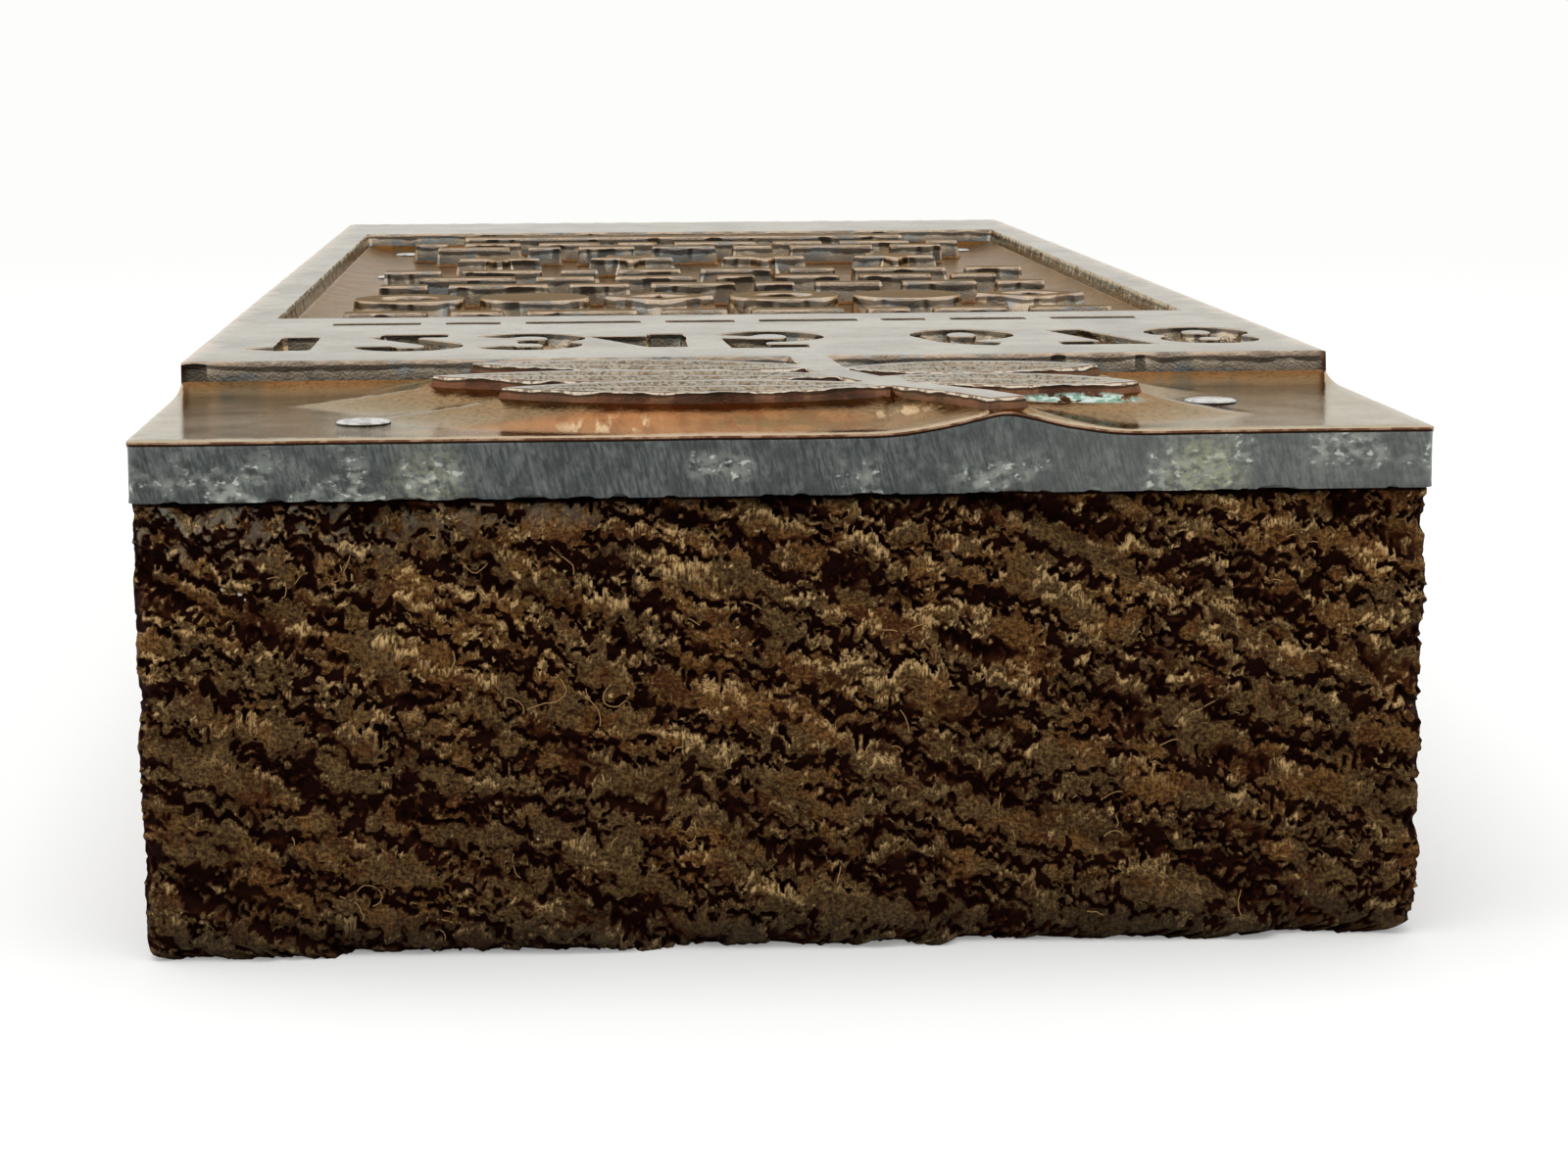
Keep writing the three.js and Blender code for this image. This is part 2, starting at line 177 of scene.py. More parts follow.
add, place = start_material("studio paper, matt white", floor_mesh)
looked_at = looking_rays(add)[1]
distance = add("VectorMath", place, operation="LENGTH")
lift = add("Emission", "#ffffff", add("Math", looked_at, 0.24, operation="MULTIPLY"))
near_floor = add("AddShader", add("BsdfDiffuse", "#e9eae8"), lift)
far_share = add("Math", looked_at, add("MapRange", distance, 0.14, 0.45), operation="MULTIPLY")
add("OutputMaterial", add("MixShader", far_share, near_floor, add("Emission", "#fdfefb")))

world = bpy.data.worlds.new("studio")
add = start_tree(world)
camera_ray, looked_at = looking_rays(add)
direction = add("TexCoord", out="Generated")
towards_back, towards_top = (add("SeparateXYZ", direction, out=axis) for axis in "YZ")
lengthwise = add("Math", towards_back, 0.75, operation="MULTIPLY")
slope = add("Math", towards_top, 1.5, lengthwise, operation="MULTIPLY_ADD")
strength = add("MapRange", slope, -0.55, 0.4, FRONT_LIGHT, BACK_LIGHT)
light_side = add("Background", named={"Strength": strength})
seen_side = add("Background", "#fdfefb", add("Math", strength, camera_ray, operation="MAXIMUM"))
add("OutputWorld", add("MixShader", looked_at, light_side, seen_side))
bpy.context.scene.world = world

lamp_data = bpy.data.lights.new("overhead_softbox", "AREA")
lamp_data.shape = "RECTANGLE"
lamp_data.size, lamp_data.size_y = 0.9, 0.7
lamp_data.energy = 3.0
lamp = bpy.data.objects.new("overhead_softbox", lamp_data)
lamp.location = (-0.15, -0.1, 0.8)
lamp.visible_glossy = False
bpy.context.scene.collection.objects.link(lamp)
bpy.context.scene.view_settings.view_transform = "Standard"

# %% [markdown]
# Nature's roughness is made from noise. Blender's displace modifier could roughen a mesh, but
# here the same numbers also have to drive colour, so the noise is worked out with numpy: smooth
# random values on a lattice, and a fractal that adds finer and fainter copies of it.

# %% Noise helpers
LATTICE = 512


def smooth_step(low, high, value):
    t = np.clip((value - low) / (high - low), 0, 1)
    return t * t * (3 - 2 * t)


def lattice_noise(x, y, seed):
    table = np.random.default_rng(seed).uniform(-1, 1, (LATTICE, LATTICE))
    cell_x, cell_y = np.floor(x).astype(int), np.floor(y).astype(int)
    part_x, part_y = smooth_step(0, 1, x - cell_x), smooth_step(0, 1, y - cell_y)
    x0, y0, x1, y1 = (c % LATTICE for c in (cell_x, cell_y, cell_x + 1, cell_y + 1))
    near = table[x0, y0] * (1 - part_x) + table[x1, y0] * part_x
    far = table[x0, y1] * (1 - part_x) + table[x1, y1] * part_x
    return near * (1 - part_y) + far * part_y


def fractal_noise(x, y, octaves, seed):
    fade, growth = 0.55, 1.93
    layers = [
        fade**i * lattice_noise(x * growth**i + 7.3 * i, y * growth**i - 3.1 * i, seed + i)
        for i in range(octaves)
    ]
    return sum(layers) / sum(fade**i for i in range(octaves))

# %% [markdown]
# The near end of the wood is most of what the camera sees. It is end grain, cut by a coarse saw
# that tore the fibres into overlapping flakes. A noise texture alone looks like cloud, not like
# torn wood, so the flakes are laid one by one, as roof shingles are: each has a jagged upper
# edge that stands out, and a foot that dips under the next ones. Where none lies, a pit stays.

# %% Torn end grain, as depth and colour values on a grid
END_CELL = 0.115
PIT_DEPTH = 0.85
FLAKE_SLOPE = math.radians(-23)
# Flakes of four sizes: how many, width, height, how far out of the pit they stand, and the
# pitch of the rows they keep to
FLAKE_KINDS = [
    (300, 2.5, 1.25, (0.5, 0.95), 2.9),
    (1200, 1.15, 0.7, (0.45, 1.0), 1.45),
    (4200, 0.5, 0.4, (0.4, 1.0), 0.7),
    (8500, 0.27, 0.3, (0.4, 1.0), 0.35),
]
# Fine sawtooth rows over the flakes: pitch, depth and wander
FINE_ROWS = [(1.3, 0.2, 0.5), (0.46, 0.17, 0.3)]


def torn_end_grain(width, height, cell, seed):
    """How far each point of a grid stands out, the flake's hue, and how freshly it broke,
    with a painted highlight along each flake's upper edge.
    """
    x = np.linspace(-width / 2, width / 2, round(width / cell) + 1)
    z = np.linspace(0, height, round(height / cell) + 1)
    X, Z = np.meshgrid(x, z)
    rng = np.random.default_rng(seed)
    stand = 0.14 * fractal_noise(X / 0.5, Z / 0.3, 3, seed + 1)
    tone = np.zeros(X.shape)
    fresh_and_highlight = np.zeros(X.shape)
    fingers = (
        0.16 * lattice_noise(X / 0.17, Z / 0.9, seed + 2)
        + 0.16 * lattice_noise(X / 0.36, Z / 1.1, seed + 3)
        + 0.13 * fractal_noise(X / 0.7, Z / 0.6, 2, seed + 4)
    )
    for count, wide, tall, lift, pitch in FLAKE_KINDS:
        centres = rng.uniform((-width / 2, 0), (width / 2, height), (count, 2))
        across = centres @ (-math.sin(FLAKE_SLOPE), math.cos(FLAKE_SLOPE)) / pitch
        across += 0.6 * lattice_noise(*centres.T / (2.6 * pitch), seed + 6)
        centres[:, 1] -= 0.7 * pitch * (across - np.round(across))
        for centre in centres:
            w, t = wide * rng.uniform(0.6, 1.5), tall * rng.uniform(0.6, 1.4)
            angle = FLAKE_SLOPE + rng.normal(0, 0.22)
            out, hue, broken = rng.uniform(*lift), rng.uniform(-1, 1), rng.uniform() ** 2.2
            reach = 0.75 * max(w, t) + 0.3
            rows = slice(*np.searchsorted(z, [centre[1] - reach, centre[1] + reach]))
            columns = slice(*np.searchsorted(x, [centre[0] - reach, centre[0] + reach]))
            dx, dz = X[rows, columns] - centre[0], Z[rows, columns] - centre[1]
            finger = fingers[rows, columns]
            u = dx * math.cos(angle) + dz * math.sin(angle) + 0.5 * finger
            v = dz * math.cos(angle) - dx * math.sin(angle) + 1.5 * finger * min(1, 0.4 + t)
            inside = 1 - (2 * u / w) ** 2
            edge = t / 2 * np.sqrt(np.clip(inside, 0, 1))
            below_edge = edge - v
            above_foot = (v + edge) / t
            height_here = out * (0.6 + 0.4 * np.clip(above_foot, 0, 1))
            height_here -= 0.4 * smooth_step(0.3, 0, above_foot)
            height_here = np.where(inside > 0, height_here * smooth_step(0, 0.14, below_edge), -1)
            hit = height_here > stand[rows, columns]
            stand[rows, columns][hit] = height_here[hit]
            tone[rows, columns][hit] = hue
            splinters = broken * smooth_step(0.25 + 0.35 * t, 0.05, below_edge)
            # Fresh splinters, and a painted highlight along every flake's upper edge
            splinters_and_edge_highlight = np.maximum(splinters, 0.45 * smooth_step(0.2, 0.06, below_edge))
            fresh_and_highlight[rows, columns][hit] = splinters_and_edge_highlight[hit]
    for i, (pitch, depth, wander) in enumerate(FINE_ROWS):
        across = Z * math.cos(FLAKE_SLOPE) - X * math.sin(FLAKE_SLOPE) + 0.8 * fingers
        across += wander * fractal_noise(X / (2 * pitch), Z / (1.3 * pitch), 3, seed + 8 + i)
        share = (across / pitch) % 1
        uneven = smooth_step(-0.5, 0.4, lattice_noise(X / (3 * pitch), Z / (1.6 * pitch), seed + 12 + i))
        stand -= depth * uneven * np.where(share < 0.25, smooth_step(0, 0.25, share), (1 - share) / 0.75)
    stand += 0.05 * fractal_noise(X / 0.2, Z / 0.4, 2, seed + 5)
    return X, Z, stand, tone, fresh_and_highlight


X, Z, stand, tone, fresh_and_highlight = torn_end_grain(2 * half_width, wood_top, END_CELL, 8)
print("end grain grid", X.shape, "stands out", np.percentile(stand, [2, 50, 98]).round(2))

# %% [markdown]
# The flakes sit on broad rows that slope down to the right. Each row starts deep and leans out
# to its upper edge, as the solid's do, but here the edges wander.

# %% Broad rows under the flakes
TEAR_PITCH, TEAR_STEP, TEAR_DEPTH = 5.8, 0.6, 0.8
TEAR_TILT = math.tau * 0.07


def torn_rows(x, z, seed):
    wander = 0.9 * fractal_noise(x / 3.4, z / 3.4, 3, seed)
    across = x * math.sin(TEAR_TILT) + (z - wood_top / 2) * math.cos(TEAR_TILT) + wander
    share, step = (across / TEAR_PITCH) % 1, TEAR_STEP / TEAR_PITCH
    return TEAR_DEPTH * np.where(share < step, smooth_step(0, step, share), (1 - share) / (1 - step))


near_rows = torn_rows(X, Z, 31)

# %% [markdown]
# The block could be a cube with a displaced end, but its worn edges and corners would then need
# care of their own. Here the front is a fine grid, pushed back from the saw's plane, and the
# grid's rim already follows the worn edges. The sides and the far end join it there.

# %% Front of the wood block
# How far each lower corner is worn away, across and up
CORNER_WEAR = {"left": (0.9, 0.8), "right": (2.1, 1.3)}
EDGE_WEAR = 0.35
RING_PLACES = [-67.8, -67, -65, -60, -30, 10, 45, 66, 69.3]
GRAIN_RIDGE = 0.06
# The painted shade of a hollow grows with how far it lies below its surroundings: weight, and reach in cells
HOLLOW_BLURS = [(0.8, 2), (1, 5), (0.6, 14)]


def box_blur(values, radius):
    """Averages over a square, with running sums down the columns and then along the rows."""
    size = 2 * radius + 1
    for _ in range(2):
        sums = np.cumsum(np.pad(values, [(radius + 1, radius), (0, 0)], "edge"), 0)
        values = ((sums[size:] - sums[:-size]) / size).T
    return values


def link_object(name, mesh, slot, *nodes):
    piece = bpy.data.objects.new(name, mesh)
    bpy.context.scene.collection.objects.link(piece)
    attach(piece, BODY)
    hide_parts(*nodes)


def side_inset(z, side, seed):
    """How far the block's side lies inside its full width at each height."""
    across, tall = CORNER_WEAR[side]
    below = np.clip(1 - z / tall, 0, 1)
    worn = across * (1 - np.sqrt(1 - below**2))
    notch = 0.13 * smooth_step(0.0, 0.7, fractal_noise(z / 0.5, 0 * z + 0.5, 3, seed))
    return worn + notch + 0.02


rows, columns = X.shape
left = -half_width + side_inset(Z, "left", 61)
right_side = half_width - side_inset(Z, "right", 62)
share = (X + half_width) / (2 * half_width)
front_x = left + (right_side - left) * share
bottom_gap = 0.12 * smooth_step(0.0, 0.8, fractal_noise(X / 2.3, 0 * X, 3, 63))
top_gap = 0.1 + 0.22 * smooth_step(-0.4, 0.7, fractal_noise(X / 1.1, 0 * X, 4, 64))
front_z = bottom_gap + (wood_top - top_gap - bottom_gap) * Z / wood_top
to_rim = np.minimum.reduce([front_x - left, right_side - front_x, front_z - bottom_gap, wood_top - front_z])
rounding = EDGE_WEAR * (1 - smooth_step(0, 2.2 * EDGE_WEAR, to_rim)) ** 2
front_depth = PIT_DEPTH * np.clip(1 - stand, 0, None) + near_rows + rounding
front_y = -half_length + front_depth
hollow_shade = sum(weight * np.clip(box_blur(stand, cells) - stand, 0, 1) for weight, cells in HOLLOW_BLURS)
# Painted shade also darkens the strip right under the plate
hollow_shade = np.maximum(hollow_shade, 0.5 * smooth_step(0.35, 0.15, wood_top - front_z))
print("front set back by", front_depth.min().round(3), "to", front_depth.max().round(2), "mm")

# %% [markdown]
# The sides were planed, and show long grain. The front's rim is carried down the length of the
# block as a stack of rings, whose small ridges run along Y as long grain does.

# %% Sides of the wood block
number = np.arange(rows * columns).reshape(rows, columns)
front_rim = np.concatenate([number[0, :-1], number[:-1, -1], number[-1, :0:-1], number[:0:-1, 0]])
rim_i, rim_j = np.divmod(front_rim, columns)
rim_x, rim_z = front_x[rim_i, rim_j], front_z[rim_i, rim_j]
out_x = np.where(rim_j == 0, -1, np.where(rim_j == columns - 1, 1, 0))
out_z = np.where(rim_i == 0, -1, np.where(rim_i == rows - 1, 1, 0))
plain_left = -half_width + side_inset(rim_z, "left", 66)
plain_right = half_width - side_inset(rim_z, "right", 67)
plain_x = np.select([out_x < 0, out_x > 0], [plain_left, plain_right], rim_x)
around = np.arange(len(rim_x)) * END_CELL
rings = []
for place in RING_PLACES:
    settle = smooth_step(0, 4, place + half_length) * smooth_step(0, 4, half_length - place)
    ridge = GRAIN_RIDGE * (1 + fractal_noise(around / 0.45, around * 0 + place / 40, 2, 71))
    ring_x = rim_x + settle * (plain_x - rim_x) - out_x * ridge
    ring_z = rim_z - out_z * ridge - settle * (rim_z - np.clip(rim_z, 0.03, wood_top - 0.03)) * abs(out_z)
    rings.append(np.stack([ring_x, np.full_like(ring_x, place), np.clip(ring_z, 0.01, wood_top - 0.01)], 1))

# %% [markdown]
# The far end is torn too, but the camera never comes close, so its net is coarser. A plane
# triangulation joins that net to the last ring.

# %% Far end of the wood block
far_X, far_Z, far_stand, far_tone, far_fresh_and_highlight = torn_end_grain(2 * half_width, wood_top, 0.45, 9)
inner = (slice(1, -1), slice(1, -1))
far_y = half_length - PIT_DEPTH * np.clip(1 - far_stand, 0, None) - torn_rows(-far_X, far_Z, 33)
far_points = np.stack([far_X[inner] * 0.985, far_y[inner], 0.3 + far_Z[inner] * 0.97], -1).reshape(-1, 3)
last = rings[-1]
flat = [Vector((p[0], p[2])) for p in np.concatenate([last, far_points])]
found = delaunay_2d_cdt(flat, [], [list(range(len(last)))], 1, 1e-5)
print("wood far end:", len(found[2]), "triangles, new vertices:", len(found[0]) - len(flat))

# %% [markdown]
# A modelling tool could bridge these parts, but then the values that drive the colours would be
# lost. So the faces are numbered one by one, and every vertex keeps its values.

# %% Stitch the wood block


def mesh_from(name, vertices, faces, values=None):
    """Vertices in millimetres. Values are named numbers, one for each vertex."""
    mesh = bpy.data.meshes.new(name)
    mesh.from_pydata((np.asarray(vertices) * MM).tolist(), [], faces)
    for key, numbers in (values or {}).items():
        mesh.attributes.new(key, "FLOAT", "POINT").data.foreach_set("value", np.ravel(numbers))
    mesh.validate()
    return mesh


front = np.stack([front_x, front_y, front_z], -1).reshape(-1, 3)
quads = np.stack([number[:-1, :-1], number[:-1, 1:], number[1:, 1:], number[1:, :-1]], -1)
faces = quads.reshape(-1, 4).tolist()
loop, start = front_rim, len(front)
for k in range(len(rings)):
    ring_loop = start + k * len(loop) + np.arange(len(loop))
    walls = np.stack([loop, ring_loop, np.roll(ring_loop, -1), np.roll(loop, -1)], -1)
    faces += walls.tolist()
    loop = ring_loop
far_start = start + (len(rings) - 1) * len(loop)
faces += [[far_start + found[3][v][0] for v in reversed(face)] for face in found[2]]


def with_sides(on_front, on_far, on_sides=0.0):
    on_rings = np.full(len(rings) * len(loop), on_sides)
    return np.concatenate([np.ravel(on_front), on_rings, np.ravel(on_far[inner])])


far_hollow_shade = np.clip(box_blur(far_stand, 2) - far_stand, 0, 1)
wood_values = {
    "tone": with_sides(tone, far_tone),
    "fresh_and_highlight": with_sides(fresh_and_highlight, far_fresh_and_highlight),
    "hollow_shade": with_sides(hollow_shade, far_hollow_shade),
    "stand": with_sides(stand - 0.3 * near_rows, far_stand, 0.8),
    "end_grain": with_sides(np.ones_like(tone), np.ones_like(far_tone)),
}
wood_mesh = mesh_from("wood_block", np.concatenate([front, *rings, far_points]), faces, wood_values)
wood_mesh.shade_smooth()
link_object("wood_block", wood_mesh, "hardwood", "wood_base")
print("wood block:", len(wood_mesh.vertices), "vertices,", len(wood_mesh.polygons), "faces")

# %% [markdown]
# A worn surface is best painted as a painter would: thin coats over a ground, each with a mask
# that says where it lies. Most masks are noise between two limits, and the noise takes its
# scale from a real size in millimetres. Others hold round a spot, or where several masks meet.

# %% Masks and coats


def sized_noise(add, coordinates, size_mm, detail=4.0, stretch=(1, 1, 1), distortion=0.0):
    """Cloudy noise whose blotches measure size_mm, longer where stretch is more than one."""
    placed = add("Mapping", coordinates, named={"Scale": [1 / (MM * size_mm * s) for s in stretch]})
    return add("TexNoise", placed, named={"Scale": 1.0, "Detail": detail, "Distortion": distortion})


def near_spot(add, place, centre_mm, squeeze, outer_mm, inner_mm):
    """A mask that holds round a spot, inside the outer reach and fully inside the inner one."""
    offset = add("VectorMath", place, [c * MM for c in centre_mm], operation="SUBTRACT")
    squeezed = add("VectorMath", offset, squeeze, operation="MULTIPLY")
    return add("MapRange", add("VectorMath", squeezed, operation="LENGTH"), outer_mm * MM, inner_mm * MM)


def all_of(add, product, *masks):
    """A mask that holds where all of the given ones do."""
    for mask in masks:
        product = add("Math", product, mask, operation="MULTIPLY")
    return product


def lay_coats(add, colour, *coats):
    """Lays coats over a colour. Each gives a mask, the mask's limits if it has any, and the coat."""
    for mask, *limits, coat in coats:
        mask = add("MapRange", mask, *limits) if limits else mask
        colour = add("Mix", mask, colour, coat)
    return colour


def surface_up(add):
    return add("SeparateXYZ", add("NewGeometry", out="Normal"), out="Z")

# %% [markdown]
# The wood is a dense red-brown hardwood such as mahogany. Its end was rough sawn and never
# finished, then took up decades of ink and dust. The plateaus are taupe, and the pits and
# hollows are painted nearly black, a painted shade. Where fibres broke later they show as
# golden upright threads, and a painted highlight lines each flake's upper edge. The bundles of
# fibres are really finer than a tenth of a millimetre, and are drawn a little coarser.

# %% Wood material
THREAD_MM, CRUMB_MM = 0.1, 0.16

add, place = start_material("mahogany, rough sawn end grain", wood_mesh)
noise = partial(sized_noise, add, place)
across, height = (add("SeparateXYZ", place, out=axis) for axis in "XZ")
names = ("tone", "fresh_and_highlight", "stand", "hollow_shade", "end_grain")
hue, broken, stands, shaded, on_end = (add("Attribute", attribute_name=name, out="Fac") for name in names)
threads = noise(THREAD_MM, 2, (1, 1, 6))
crumbs = noise(CRUMB_MM, 4, (1.3, 1, 1))
low_share = add("MapRange", height, 0.0155, 0.005)
olive = add("Math", hue, 0.08, noise(3.2, 3), operation="MULTIPLY_ADD")
olive = add("Math", low_share, 0.1, olive, operation="MULTIPLY_ADD")
red = add("Math", hue, -0.07, noise(2.1, 3), operation="MULTIPLY_ADD")
thread_tips = add("MapRange", threads, 0.35, 0.62, 0.3, 1.0)
# Gold shows fresh broken fibres, and a painted highlight along each flake's upper edge; it thins towards the
# bottom
gold_and_highlight = all_of(add, broken, thread_tips, add("MapRange", low_share, 0, 1, 1.0, 0.6))
dust_height = add("Math", across, -0.12, height, operation="MULTIPLY_ADD")
dust = [add("MapRange", dust_height, 0.0185, 0.0225), add("MapRange", noise(0.9), 0.42, 0.56)]
# Darker towards the bottom of the block
bottom_darkening_height = add("Math", noise(2.0, 3), 0.002, height, operation="MULTIPLY_ADD")
# Painted shade: the deeper a place lies, and the more it is hollowed below its surroundings, the darker
pit_shade = add("MapRange", stands, 0.36, -0.1)
pit_shade = add("Math", pit_shade, add("MapRange", shaded, 0.1, 0.42), operation="MAXIMUM")
torn = lay_coats(
    add,
    "#8a6033",
    (olive, 0.42, 0.6, "#735937"),
    (red, 0.52, 0.66, 0, 0.8, "#5a2f13"),
    (crumbs, 0.56, 0.38, 0, 0.75, "#30170a"),
    (crumbs, 0.55, 0.72, 0, 0.45, "#ae8a50"),
    (threads, 0.58, 0.38, 0, 0.45, "#2a180b"),
    (gold_and_highlight, 0.08, 0.62, "#e9c286"),
    (all_of(add, *dust, 0.7), "#8d8a7d"),
    (bottom_darkening_height, 0.0036, 0.0016, 0, 0.6, "#2b2820"),
    (pit_shade, 0.0, 0.6, "#431f0b"),
    (pit_shade, 0.35, 1.0, "#220902"),
)
grain_lines = noise(0.35, 4, (1, 60, 1), 0.6)
planed = (grain_lines, 0.35, 0.68, "#7a5532"), (noise(9, 3), 0.45, 0.7, 0, 0.5, "#4b3524")
colour = lay_coats(add, "#3a2415", *planed, (on_end, torn))
rough_height = add("Math", threads, 0.5, crumbs, operation="MULTIPLY_ADD")
bump = add("Bump", named={"Height": rough_height, "Strength": 0.8, "Distance": 0.16 * MM})
sockets = {"Base Color": colour, "Normal": bump, "Roughness": 0.85, "Specular IOR Level": 0.1}
add("OutputMaterial", add("BsdfPrincipled", named=sockets))

# %% [markdown]
# The printing face is a relief grown from a mould, so its outlines are soft and a little
# ragged. Modelling tools could bevel each figure, but the walls of neighbours would meet badly.
# Here every figure is a distance in the plane instead: how far a point lies outside it. The
# nearest distance wins, so any figures blend, and a wall's profile is one curve over distance.

# %% Distances to shapes


def disc_distance(x, y, centre, radius):
    return np.hypot(x - centre[0], y - centre[1]) - radius


def box_distance(x, y, x0, x1, y0, y1):
    dx, dy = np.maximum(x0 - x, x - x1), np.maximum(y0 - y, y - y1)
    return np.hypot(np.clip(dx, 0, None), np.clip(dy, 0, None)) + np.minimum(np.maximum(dx, dy), 0)


def path_distance(x, y, path, closed=False):
    ends = path[1:] + path[:1] if closed else path[1:]
    best = np.full(x.shape, np.inf)
    for (ax, ay), (bx, by) in zip(path, ends):
        length = max((bx - ax) ** 2 + (by - ay) ** 2, 1e-9)
        t = np.clip(((x - ax) * (bx - ax) + (y - ay) * (by - ay)) / length, 0, 1)
        best = np.minimum(best, np.hypot(x - ax - t * (bx - ax), y - ay - t * (by - ay)))
    return best


def polygon_distance(x, y, corners):
    inside = np.zeros(x.shape, bool)
    for (ax, ay), (bx, by) in zip(corners, corners[1:] + corners[:1]):
        if ay != by:
            inside ^= ((ay > y) != (by > y)) & (x < ax + (y - ay) / (by - ay) * (bx - ax))
    distance = path_distance(x, y, corners, True)
    return np.where(inside, -distance, distance)


def stroke_corners(path, width):
    """The outline of a pen stroke with flat ends and mitred turns."""
    points = np.array(path, float)
    steps = np.diff(points, axis=0)
    steps /= np.linalg.norm(steps, axis=1)[:, None]
    before, after = np.vstack([steps[:1], steps]), np.vstack([steps, steps[-1:]])
    along = before + after
    along /= np.linalg.norm(along, axis=1)[:, None]
    reach = width / 2 / np.clip((along * after).sum(1), 0.3, 1)
    side = np.stack([along[:, 1], -along[:, 0]], 1) * reach[:, None]
    return [tuple(p) for p in np.vstack([points + side, (points - side)[::-1]])]


def arc(cx, cy, rx, ry, start, end, steps=14):
    turns = [math.tau * (start + (end - start) * i / steps) for i in range(steps + 1)]
    return [(cx + rx * math.cos(t), cy + ry * math.sin(t)) for t in turns]

# %% [markdown]
# The layout follows the real block: a low apron in front with a spray of leaves, a broad band
# with figures sunk in it, and a framed panel with rows of small raised ornaments.

# %% Lay out the relief
BAND_FRONT, PANEL_NEAR, PANEL_FAR, PANEL_HALF = -50, -25.5, 55, 24.6
RELIEF, NUMERAL_SINK, DASH_SINK = type_height - floor_z, 0.95, 0.6
ROW_HALF, STAR_ROW_HALF = PANEL_HALF - 3.2, 16.82
DASH_ROWS = [0.045, 0.3, 0.38, 0.46, 0.77, 0.83]
DASH_WIDTHS, DASH_GAP = [4.6, 2.9, 6.1, 3.7, 5.2, 2.4, 4.1], 1.3
NUMERAL_SIZE, NUMERAL_STROKE, SPACE = (5.3, 9.3), 1.9, 3.6
ORNAMENT_RADIUS, RING_STROKE, STAR_RADIUS = 3.2, 1.5, 3.1

# %% [markdown]
# The band's figures are plain numerals. Each is a few pen strokes on a unit square, scaled to
# one size, so no font is needed. Round strokes are arcs, and loops stay closed.

# %% Numerals on the band
loop_upper, loop_lower = arc(0.5, 0.77, 0.44, 0.23, 0, 1)[1:], arc(0.5, 0.27, 0.5, 0.27, 0, 1)[1:]
NUMERAL_PATHS = {
    "1": [[(0.6, 1), (0.6, 0)], [(0.1, 0.76), (0.62, 0.94)]],
    "2": [[*arc(0.5, 0.74, 0.5, 0.26, 0.5, -0.06), (0.05, 0.03)], [(0, 0), (1, 0)]],
    "3": [arc(0.45, 0.76, 0.5, 0.24, 0.45, -0.3), arc(0.45, 0.26, 0.55, 0.26, 0.29, -0.45)],
    "4": [[(0.7, 0), (0.7, 1)], [(0.66, 0.95), (0, 0.3), (1, 0.3)]],
    "5": [[(0.95, 1), (0.1, 1), (0.05, 0.55), *arc(0.45, 0.3, 0.55, 0.3, 0.27, -0.45)]],
    "6": [arc(0.92, 0.3, 0.84, 0.7, 0.26, 0.47)],
    "7": [[(0, 1), (1, 1), (0.35, 0)]],
}
NUMERAL_LOOPS = {"6": [arc(0.5, 0.3, 0.5, 0.3, 0, 1)[1:]], "8": [loop_upper, loop_lower]}

cell_size = [size - NUMERAL_STROKE for size in NUMERAL_SIZE]
row_half = half_width - 1.6
pitch = (2 * row_half - NUMERAL_SIZE[0] - SPACE) / 7
head_y = BAND_FRONT + 4.3 + NUMERAL_STROKE / 2
numeral_shapes = []
pen_x = NUMERAL_STROKE / 2 - row_half
for numeral in "12345 678":
    if numeral == " ":
        pen_x += SPACE
        continue
    for paths, closed in ((NUMERAL_PATHS, False), (NUMERAL_LOOPS, True)):
        for path in paths.get(numeral, []):
            placed = [(pen_x + px * cell_size[0], head_y + (1 - py) * cell_size[1]) for px, py in path]
            numeral_shapes.append((placed if closed else stroke_corners(placed, NUMERAL_STROKE), closed))
    pen_x += pitch

# %% [markdown]
# The panel holds rows of dashes and of small ornaments: rings, discs, lozenges and stars. A row
# is placed by its share of the panel's depth, and holds as many dashes as fit, centred.

# %% Rows in the panel


def panel_y(share):
    return PANEL_NEAR + share * (PANEL_FAR - PANEL_NEAR)


def dash_row(y, first):
    """As many dashes side by side as the row holds, centred."""
    widths, run = [], -DASH_GAP
    for width in (DASH_WIDTHS * 4)[first:]:
        if run + DASH_GAP + width > 2 * ROW_HALF:
            break
        run += DASH_GAP + width
        widths.append(width)
    x, boxes = -run / 2, []
    for width in widths:
        boxes.append((x, x + width, y - 0.75, y + 0.75))
        x += width + DASH_GAP
    return boxes


def row_centres(count, radius, row_half):
    return [radius - row_half + i * (2 * row_half - 2 * radius) / (count - 1) for i in range(count)]


sunk_dashes = dash_row(PANEL_NEAR - 4.4, 0)
raised_boxes = [box for i, share in enumerate(DASH_ROWS) for box in dash_row(panel_y(share), i)]
bar_y = panel_y(0.93)
raised_boxes.append((-STAR_ROW_HALF, STAR_ROW_HALF, bar_y - 1.2, bar_y + 1.2))
ornament_x = row_centres(6, ORNAMENT_RADIUS, ROW_HALF)
star_x = row_centres(4, STAR_RADIUS, STAR_ROW_HALF)
star_turns = [math.tau * (i / 10 - 0.25) for i in range(10)]
star_reach = [STAR_RADIUS, STAR_RADIUS * 0.45] * 5
star = [(r * math.cos(t), r * math.sin(t)) for t, r in zip(star_turns, star_reach)]

# %% [markdown]
# Each leaf is the lens where two equal circles overlap, the plainest way to draw a pointed leaf.
# So two points and a width describe it, and its rib is the line between the points.

